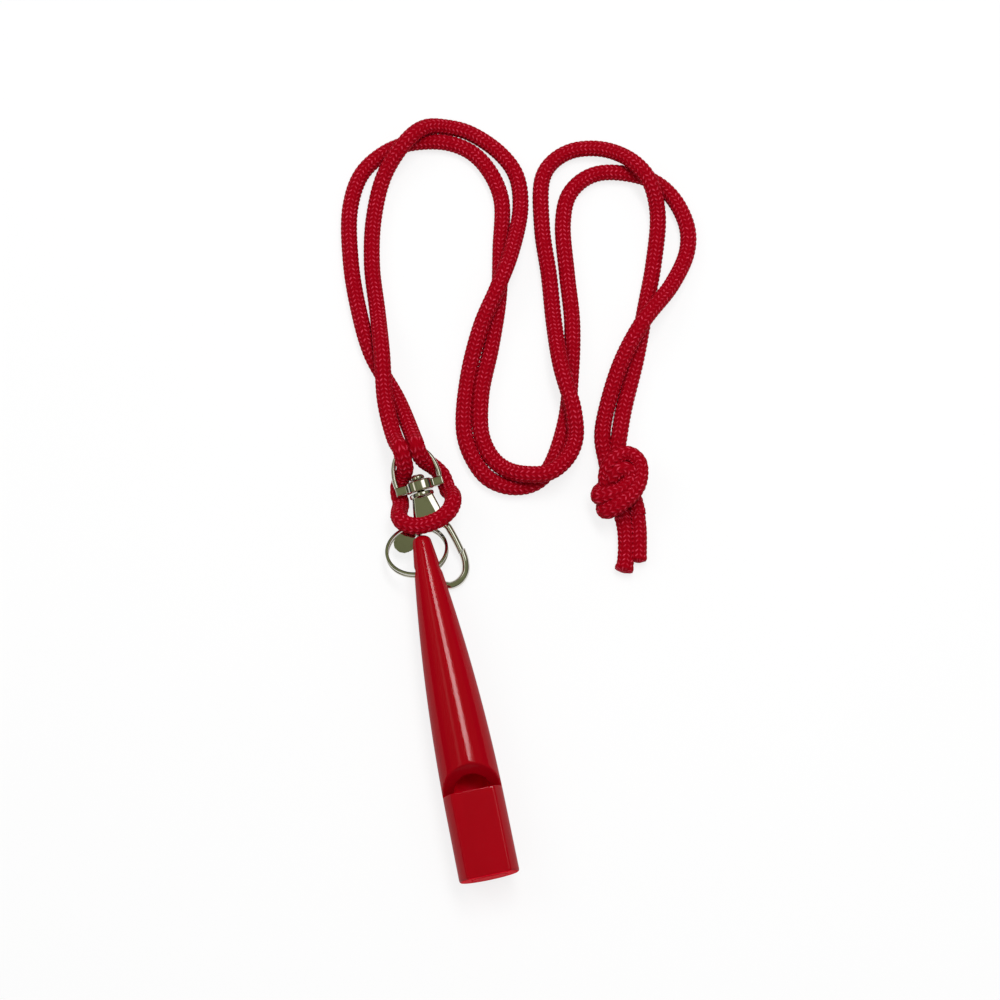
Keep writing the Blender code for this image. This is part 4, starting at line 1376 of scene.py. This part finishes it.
@dataclass
class Lanyard:
    """One braided cord: hitched over the hook, laid in loops, and knotted."""

    eye: Matrix
    layout: Matrix
    finish: bpy.types.Material
    radius: float = 1.75 * MM
    relief: float = 0.22 * MM
    sink: float = 0.05 * MM
    lanes: int = 12
    sides: int = 48
    pitch: float = 1.2 * MM
    slant: float = 0.65
    row: float = 0.24 * MM
    lead: float = 0.6 * MM
    flat: tuple[float, float, float] = (1.10, 1.10, 0.95)
    flare_left: float = 0.25
    flare_right: float = 0.08
    flare_reach: float = 0.7
    melt_share: float = 0.65
    melt_reach: float = 0.2

    # In millimetres: the starts and the loop at the eye, and the others on the table from the ring hole.
    START_LEFT: ClassVar[Route] = [
        (-5.3, 0.85, -2.68), (-4.8, -1.6, -2.82), (-3.2, -3.7, -1.5), (-2.15, -5.0, 0.4), (-1.95, -7.2, 2.3),
        (-1.95, -9.5, 2.95),
    ]
    START_RIGHT: ClassVar[Route] = [
        (6.4, 0.85, -2.7), (6.1, -1.6, -2.85), (4.7, -4.0, -2.35), (2.9, -5.7, -0.2), (2.05, -7.5, 2.1),
        (1.95, -9.5, 2.95),
    ]
    LEFT: ClassVar[Route] = [
        (-1.5, 33.5, 7.0), (-2.0, 43.5, 5.6), (-0.5, 56.0, 6.2), (0.5, 68.5, 2.5), (1.5, 81.5, 2.0),
        (4.5, 94.5, 2.0), (9.5, 105.0, 3.5), (17.0, 112.0, 6.0), (22.0, 115.0, 4.5), (27.0, 115.0, 2.5),
        (32.5, 112.5, 2.0), (39.0, 105.5, 2.0), (42.0, 98.5, 2.0), (41.5, 90.0, 2.0), (36.5, 77.0, 4.9),
        (31.0, 67.5, 6.3), (25.0, 59.0, 4.5), (19.0, 46.5, 2.0), (15.5, 33.0, 2.0), (16.5, 25.5, 2.0),
        (19.0, 20.5, 2.0), (23.5, 17.5, 2.0), (29.0, 17.0, 2.0), (33.5, 19.5, 2.0), (40.0, 30.0, 2.0),
        (44.5, 43.5, 2.0), (47.5, 56.0, 2.0), (49.0, 69.0, 2.0), (51.0, 83.0, 2.0), (54.0, 90.0, 2.0),
        (58.5, 93.5, 2.0), (63.5, 94.5, 2.0), (71.0, 92.5, 2.0), (76.5, 89.0, 2.0), (80.0, 83.5, 2.0),
        (81.5, 75.5, 2.0), (80.0, 69.0, 2.0), (74.0, 60.5, 3.5), (64.0, 51.0, 6.2), (56.5, 42.0, 4.3),
        (50.0, 30.0, 2.0), (48.3, 25.0, 2.3), (48.0, 21.5, 2.0), (48.0, 18.8, 2.0),
    ]
    RIGHT: ClassVar[Route] = [
        (3.0, 32.5, 7.0), (1.0, 45.0, 2.2), (-3.0, 58.0, 2.0), (-4.0, 71.0, 2.0), (-3.5, 84.0, 2.0),
        (-1.0, 98.0, 2.0), (3.5, 106.5, 2.0), (10.0, 111.0, 2.0), (16.5, 112.5, 2.0), (26.0, 111.0, 2.0),
        (32.0, 107.0, 2.0), (35.5, 101.0, 2.0), (37.0, 92.5, 2.0), (34.0, 79.0, 2.0), (31.0, 66.5, 2.0),
        (26.5, 54.0, 2.0), (21.5, 42.0, 2.0), (19.5, 31.5, 2.0), (21.0, 25.0, 2.5), (24.0, 21.0, 4.0),
        (28.5, 18.5, 5.8), (33.5, 18.0, 5.8), (38.5, 21.0, 4.9), (41.5, 25.5, 4.5), (42.5, 32.0, 5.8),
        (42.0, 44.0, 5.5), (43.0, 56.5, 2.5), (44.5, 69.5, 2.0), (45.5, 82.5, 2.0), (48.5, 96.0, 2.0),
        (52.0, 100.0, 2.0), (57.0, 102.0, 2.0), (62.5, 101.5, 2.5), (67.5, 99.0, 3.5), (72.0, 93.5, 5.8),
        (74.5, 88.0, 5.5), (75.0, 80.5, 2.5), (71.0, 67.5, 2.0), (66.0, 55.5, 2.0), (61.0, 43.5, 2.0),
        (55.0, 31.0, 2.0), (52.2, 24.0, 2.3), (51.0, 20.8, 2.0), (50.2, 18.2, 2.0),
    ]
    LOOP: ClassVar[Route] = [
        (-5.3, 2.35, -2.5), (-5.9, 3.6, -1.9), (-6.5, 4.8, -0.2), (-6.8, 6.0, 1.9), (-6.3, 7.7, 3.7),
        (-4.7, 9.0, 4.6), (-2.4, 9.75, 5.0), (0.0, 9.8, 5.2), (2.7, 9.3, 5.0), (5.0, 8.1, 4.2),
        (6.5, 6.3, 2.7), (7.0, 4.7, 0.6), (7.0, 3.6, -1.1), (6.7, 2.9, -2.1), (6.4, 2.35, -2.5),
    ]
    LOOP_BEND: ClassVar[Route] = [(0.0, 1.2, -2.5), (0.0, 6.0, -2.5)]
    KNOT_LEFT: ClassVar[Route] = [
        (48.0, 20.0, 2.0), (48.0, 18.5, 2.0), (47.6, 15.5, 2.1), (46.4, 12.7, 2.5), (44.4, 11.0, 3.9),
        (44.1, 9.4, 5.9), (46.4, 9.2, 7.1), (49.2, 9.6, 7.2), (51.5, 11.1, 6.9), (52.4, 12.8, 6.7),
        (51.7, 14.3, 7.1), (50.2, 14.6, 7.1), (48.6, 13.7, 6.2), (47.9, 12.5, 4.7), (49.0, 11.9, 3.7),
        (50.9, 11.4, 3.2), (52.1, 9.0, 3.0), (52.4, 6.0, 2.6), (52.4, 4.0, 2.4),
    ]
    KNOT_RIGHT: ClassVar[Route] = [
        (50.6, 19.6, 2.0), (49.8, 16.9, 2.0), (48.3, 13.0, 2.1), (46.6, 9.6, 2.5), (44.7, 7.2, 3.9),
        (44.9, 5.7, 5.9), (47.6, 6.2, 7.3), (50.6, 7.6, 7.5), (53.2, 9.9, 7.2), (54.7, 13.1, 6.8),
        (54.9, 16.0, 6.6), (53.2, 18.2, 6.7), (50.4, 18.1, 6.8), (48.2, 16.7, 6.4), (46.9, 14.8, 5.2),
        (46.6, 12.3, 4.3), (47.8, 9.0, 3.5), (48.7, 5.3, 2.6), (48.7, 3.6, 2.4),
    ]
    TAIL_LEFT: ClassVar[Route] = [
        (48.8, 4.6, 2.4), (48.7, 1.0, 2.0), (48.0, -3.0, 1.9), (46.8, -7.0, 2.0), (45.9, -9.0, 2.15),
    ]
    TAIL_RIGHT: ClassVar[Route] = [
        (52.3, 5.2, 2.4), (51.8, 0.8, 2.0), (51.0, -3.0, 1.9), (50.2, -6.2, 1.9), (49.9, -7.3, 1.9),
    ]

    def __post_init__(self) -> None:
        """Make the braid's tool and the directions of the cord's ends."""
        self.tool = BraidTool()
        self.bow_way = (self.eye.to_3x3() @ Vector((0.0, -1.0, 0.0))).normalized()
        self.knot_way = Vector((-0.25, -0.968, 0.0))

    def laid(self, route: Route) -> list[Vector]:
        """Points on the table, given in millimetres from the ring hole."""
        return [self.layout @ (Vector(point) * MM) for point in route]

    def hung(self, route: Route) -> list[Vector]:
        """Points at the eye, given in millimetres as right, towards the bow, and up."""
        return [self.eye @ point for point in hook_points(route)]

    def braid(self, name: str, path: Sequence[Vector],
              girth: Sequence[float] | None = None) -> bpy.types.Object:
        """Grow one stretch of braid.

        Args:
            name: the piece's name.
            path: its middle line.
            girth: share of the full thickness at each point.

        Returns:
            The piece.
        """
        values = {
            "Radius": self.radius - self.sink, "Row spacing": self.row, "Sides": self.sides,
            "Lanes": float(self.lanes), "Pitch": self.pitch, "Slant": self.slant, "Relief": self.relief,
            "Flat": self.flat, "Finish": self.finish,
        }
        return self.tool.grow(name, path, values, girth)

    def strand_path(self, start: Route, route: Route) -> list[Vector]:
        """Middle line of a strand from the hitch, through the eye and along the table to the knot.

        Args:
            start: its points at the eye.
            route: its points on the table.

        Returns:
            The line's points.
        """
        points = self.hung(start) + self.laid(route)
        curve = smooth_curve(points, -self.bow_way, self.knot_way)
        return [curve[0] + self.lead * self.bow_way, *curve, curve[-1] + self.lead * self.knot_way]

    def loop_path(self) -> list[Vector]:
        """Middle line of the hitch loop over the hook, its ends inside the strands' ends.

        Returns:
            The line's points.
        """
        curve = smooth_curve(self.hung(self.LOOP), self.bow_way, -self.bow_way)
        lead = 2.0 * self.lead * self.bow_way
        return [curve[0] - lead, *curve, curve[-1] - lead]

    def tail(self, name: str, route: Route, flare: float) -> bpy.types.Object:
        """Grow a tail with a cut end that spreads and is rounded where it was melted.

        Both reaches from the end are in radii of the cord.

        Args:
            name: the piece's name.
            route: points of its middle line.
            flare: share of the thickness by which the end spreads.

        Returns:
            The piece.
        """
        path = smooth_curve(self.laid(route))
        shares = []
        for step in range(len(path)):
            left = length_of(path[step:]) / self.radius
            spread = flare * math.exp(-(left / self.flare_reach) ** 2)
            melted = self.melt_share * math.exp(-(left / self.melt_reach) ** 2)
            shares.append((1.0 + spread) * (1.0 - melted))
        return self.braid(name, path, shares)

    def knot(self) -> bpy.types.Object:
        """Both cords through the overhand knot.

        Returns:
            One piece.
        """
        parts = []
        for name, route in (("knot_left", self.KNOT_LEFT), ("knot_right", self.KNOT_RIGHT)):
            parts.append(self.braid(name, smooth_curve(self.laid(route), steps=24)))
        keep = parts[0]
        with bpy.context.temp_override(active_object=keep, object=keep, selected_objects=parts,
                                       selected_editable_objects=parts):
            bpy.ops.object.join()
        keep.name = "knot_braid"
        return keep

    def assemble_loop(self) -> None:
        """Build the hitch loop over the hook, fixed where it lies, in place of the part's loop."""
        path = self.loop_path()
        loop = self.braid("loop_braid", path)
        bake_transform(loop)
        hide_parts("cord_hitch_loop")
        LOG.info("%s blends from the eye to the hook with %d faces", loop.name, len(loop.data.polygons))

    def assemble(self) -> None:
        """Build and dress the knot, the tails, the strands and the hitch loop."""
        knot = self.knot()
        left = self.tail("tail_braid_left", self.TAIL_LEFT, self.flare_left)
        right = self.tail("tail_braid_right", self.TAIL_RIGHT, self.flare_right)
        first = self.strand_path(self.START_LEFT, self.LEFT)
        second = self.strand_path(self.START_RIGHT, self.RIGHT)
        strands = [self.braid("strand_braid_left", first), self.braid("strand_braid_right", second)]
        items = {"knot": knot, "tail_left": left, "tail_right": right}
        items |= {"strand_left": strands[0], "strand_right": strands[1]}
        for name, item in items.items():
            dress(item, self.finish, Body.LANYARD, Slot.CORD_RED, f"cord_{name}")
        self.assemble_loop()


@dataclass(frozen=True)
class StripCard:
    """A long bright card, with its outer and inner edges across and along it."""

    name: str
    lanes: tuple[float, float, float, float]
    rows: tuple[float, float, float, float]
    glow: tuple[float, float, float]


@dataclass
class Studio:
    """White table, soft lamps, cards that the polish mirrors, and the camera of the photograph."""

    camera: tuple[float, float, float] = (-4.91 * MM, -85.02 * MM, 432.58 * MM)
    target: tuple[float, float, float] = (20.19 * MM, 36.38 * MM, 0.0)
    lens: float = 66.498
    sensor: float = 36.0
    clip: tuple[float, float] = (0.01, 10.0)
    table: float = 3.0
    table_drop: float = 0.05 * MM
    ambient: float = 0.48
    lamp_place: tuple[float, float, float] = (0.147, 0.17, 0.55)
    lamp_along: tuple[float, float, float] = (-0.33, 0.94, 0.0)
    lamp_size: tuple[float, float] = (0.17, 0.42)
    lamp_power: float = 2.1
    fill_place: tuple[float, float, float] = (-0.45, 0.35, 0.55)
    fill_size: tuple[float, float] = (0.35, 0.35)
    fill_power: float = 0.9
    face_shift: float = 0.065
    face_half: tuple[float, float] = (0.085, 0.145)
    face_glow: tuple[float, float, float] = (22.0, 22.0, 22.0)
    card_reach: float = 1.4
    card_foot: float = 0.002
    card_height: float = 0.66
    ceiling: tuple[float, float, float] = (0.185, 0.200, 0.105)
    walls: tuple[float, float, float] = (0.05, 0.05, 0.05)
    cloud: float = 0.06
    cloud_level: tuple[float, float] = (1.2, 0.4)
    strip_height: float = 0.57
    strips: tuple[StripCard, ...] = (
        StripCard("strip_right", (0.08, 0.12, 0.32, 0.36), (-0.03, 0.01, 0.42, 0.46), (1.9, 1.9, 1.8)),
        StripCard("strip_left", (-0.36, -0.31, -0.24, -0.19), (-0.5, -0.4, 0.4, 0.5), (1.3, 1.26, 1.12)),
    )

    def aim(self, item: bpy.types.Object, place: Sequence[float], target: Sequence[float]) -> None:
        """Put an object at a place and point its -Z at a target.

        Args:
            item: the object.
            place: where it goes.
            target: what it looks at.
        """
        item.location = place
        way = Vector(target) - Vector(place)
        item.rotation_euler = way.to_track_quat("-Z", "Y").to_euler()

    def link(self, name: str, data: object) -> bpy.types.Object:
        """Make and link an object.

        Args:
            name: the object's name.
            data: its mesh, lamp or camera.

        Returns:
            The object.
        """
        item = bpy.data.objects.new(name, data)
        bpy.context.scene.collection.objects.link(item)
        return item

    def floor(self) -> None:
        """Lay the table."""
        half = self.table / 2.0
        mesh = bpy.data.meshes.new("table")
        corners = [(-half, -half, 0.0), (half, -half, 0.0), (half, half, 0.0), (-half, half, 0.0)]
        mesh.from_pydata(corners, [], [(0, 1, 2, 3)])
        mesh.materials.append(FloorFinish().material())
        table = self.link("table", mesh)
        table.location.z = -self.table_drop

    def lamp(self, name: str, place: Sequence[float], size: tuple[float, float], along: Sequence[float],
             power: float) -> bpy.types.Object:
        """Hang a soft lamp that points at the part.

        Args:
            name: the lamp's name.
            place: where it hangs.
            size: its width and length.
            along: direction of its length.
            power: its power in watts.

        Returns:
            The lamp's object.
        """
        data = bpy.data.lights.new(name, "AREA")
        data.shape = "RECTANGLE"
        data.size, data.size_y = size
        data.energy = power
        item = self.link(name, data)
        back = (Vector(place) - Vector(self.target)).normalized()
        across = Vector(along).cross(back).normalized()
        turn = Matrix((across, back.cross(across), back)).transposed()
        item.matrix_world = Matrix.Translation(place) @ turn.to_4x4()
        return item

    def card(self, name: str, corners: Sequence, faces: Sequence, colour: Sequence[float],
             share: Sequence[float] | None = None, sheer: bool = False) -> bpy.types.Object:
        """Hang toned cards that show only in reflections.

        Args:
            name: the cards' name.
            corners: their corners.
            faces: corners of each card by number.
            colour: what they add to a reflection.
            share: share of the colour at each corner, the rest being the ceiling's.
            sheer: whether the cards behind them show through.

        Returns:
            The cards' object.
        """
        mesh = bpy.data.meshes.new(name)
        mesh.from_pydata(corners, [], faces)
        shares = mesh.attributes.new("share", "FLOAT", "POINT")
        shares.data.foreach_set("value", share or [1.0] * len(corners))
        look = bpy.data.materials.new(name)
        look.use_nodes = True
        graph = Graph(look.node_tree)
        part = graph.out("ShaderNodeAttribute", "Fac", attribute_name="share")
        tone = graph.mix(part, rgba(self.ceiling), rgba(colour))
        spot = graph.out("ShaderNodeTexCoord", "Object")
        values = {"Vector": spot, "Scale": 1.0 / self.cloud, "Detail": 2.0}
        level = graph.math("MULTIPLY_ADD", graph.out("ShaderNodeTexNoise", 0, values), *self.cloud_level)
        glow = graph.out("ShaderNodeEmission", 0, {"Color": tone, "Strength": level})
        if sheer:
            through = graph.out("ShaderNodeBsdfTransparent", 0)
            glow = graph.out("ShaderNodeAddShader", 0, {0: glow, 1: through})
        graph.tree.links.new(glow, look.node_tree.nodes["Material Output"].inputs["Surface"])
        mesh.materials.append(look)
        item = self.link(name, mesh)
        for kind in ("camera", "diffuse", "transmission", "volume_scatter", "shadow"):
            setattr(item, f"visible_{kind}", False)
        return item

    def cards(self) -> None:
        """Hang an olive card above the part, dark ones round it and bright strips under the first."""
        far, low, top = self.card_reach, self.card_foot, self.card_height
        square = [(-far, -far), (far, -far), (far, far), (-far, far)]
        corners = [(x, y, z) for z in (low, top) for x, y in square]
        self.card("ceiling_card", corners[4:], [(0, 1, 2, 3)], self.ceiling)
        sides = [(step, (step + 1) % 4, (step + 1) % 4 + 4, step + 4) for step in range(4)]
        self.card("wall_cards", corners, sides, self.walls)
        for strip in self.strips:
            self.strip_card(strip)

    def strip_card(self, strip: StripCard) -> None:
        """Hang a long card under the ceiling's, whose tone it fades into at its edges.

        Args:
            strip: the card's edges and glow.
        """
        spots = [(x, y, self.strip_height) for y in strip.rows for x in strip.lanes]
        grid = [(4 * y + x, 4 * y + x + 1, 4 * y + x + 5, 4 * y + x + 4) for y in range(3) for x in range(3)]
        inner = [float(step in (5, 6, 9, 10)) for step in range(16)]
        self.card(strip.name, spots, grid, strip.glow, inner)

    def lamp_face(self, mirror: bpy.types.Object) -> None:
        """Hang the lamp's bright face, which shows in one piece's polish alone.

        Args:
            mirror: the piece that mirrors it.
        """
        half_width, half_length = self.face_half
        along = Vector(self.lamp_along)
        middle = Vector(self.lamp_place) + self.face_shift * along
        length = half_length * along
        width = half_width * Vector((along.y, -along.x, 0.0))
        face = [middle + a * length + b * width for a, b in ((-1, -1), (-1, 1), (1, 1), (1, -1))]
        corners = [tuple(corner) for corner in face]
        lit = self.card("lamp_face", corners, [(0, 1, 2, 3)], self.face_glow, sheer=True)
        lit.light_linking.receiver_collection = bpy.data.collections.new("polished_plastic")
        lit.light_linking.receiver_collection.objects.link(mirror)

    def world(self) -> None:
        """Give even light, and white to the camera and in reflections."""
        world = bpy.data.worlds.new("studio")
        bpy.context.scene.world = world
        world.use_nodes = True
        graph = Graph(world.node_tree)
        level = graph.math("MULTIPLY_ADD", graph.seen(), 1.0 - self.ambient, self.ambient)
        back = world.node_tree.nodes["Background"]
        back.inputs["Color"].default_value = rgba((1.0, 1.0, 1.0))
        graph.tree.links.new(level, back.inputs["Strength"])

    def build(self) -> None:
        """Set the table, the lamps, the cards, the world and the camera."""
        self.floor()
        window = self.lamp("window_lamp", self.lamp_place, self.lamp_size, self.lamp_along, self.lamp_power)
        fill = self.lamp("fill_lamp", self.fill_place, self.fill_size, (0.0, 1.0, 0.0), self.fill_power)
        for lamp in (window, fill):
            lamp.visible_glossy = False
        self.cards()
        self.world()
        self.view()

    def view(self) -> None:
        """Set the camera, and show colours as they are."""
        data = bpy.data.cameras.new("camera")
        data.lens = self.lens
        data.sensor_width = self.sensor
        data.clip_start, data.clip_end = self.clip
        camera = self.link("camera", data)
        self.aim(camera, self.camera, self.target)
        bpy.context.scene.camera = camera
        bpy.context.scene.view_settings.view_transform = "Standard"


def clear() -> None:
    """Empty the scene."""
    for item in list(bpy.data.objects):
        bpy.data.objects.remove(item)


def main() -> None:
    """Build the pieces in order, dress them, and set the studio."""
    logging.basicConfig(level=logging.INFO, format="%(name)s: %(message)s")
    clear()
    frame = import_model()
    nodes = frame["nodes"]
    stance = Stance(frame["joints"])
    studio = Studio()
    studio.build()

    nickel = NickelFinish().material()
    steel = NickelFinish("spring_steel", (0.50, 0.50, 0.51), (0.38, 0.37, 0.35), (0.18, 0.32)).material()
    plastic = PlasticFinish().material()
    # Painted light: the bore, the sawn end and the plug take a much lighter red than the body, standing in
    # for light in the bore; the thin coat makes them matte.
    cut = PlasticFinish("whistle_cut_painted_light", (0.74, 0.0012, 0.016), (0.64, 0.001, 0.013), (0.45, 0.6), 0.05)
    Lanyard(stance.eye(), stance.layout(), BraidFinish().material()).assemble()
    body = Whistle(stance.whistle()).assemble(plastic, cut.material(), nodes["fipple_plug"])
    studio.lamp_face(body)
    SplitRing(stance.ring()).assemble(nickel)
    SwivelEye(stance.eye()).assemble(nickel)
    HookBody(stance.hook(), stance.eye_rise).assemble(nickel)
    Gate(stance.gate()).assemble(nickel, steel, nodes["gate_pivot_pin"])


if __name__ == "__main__":
    main()
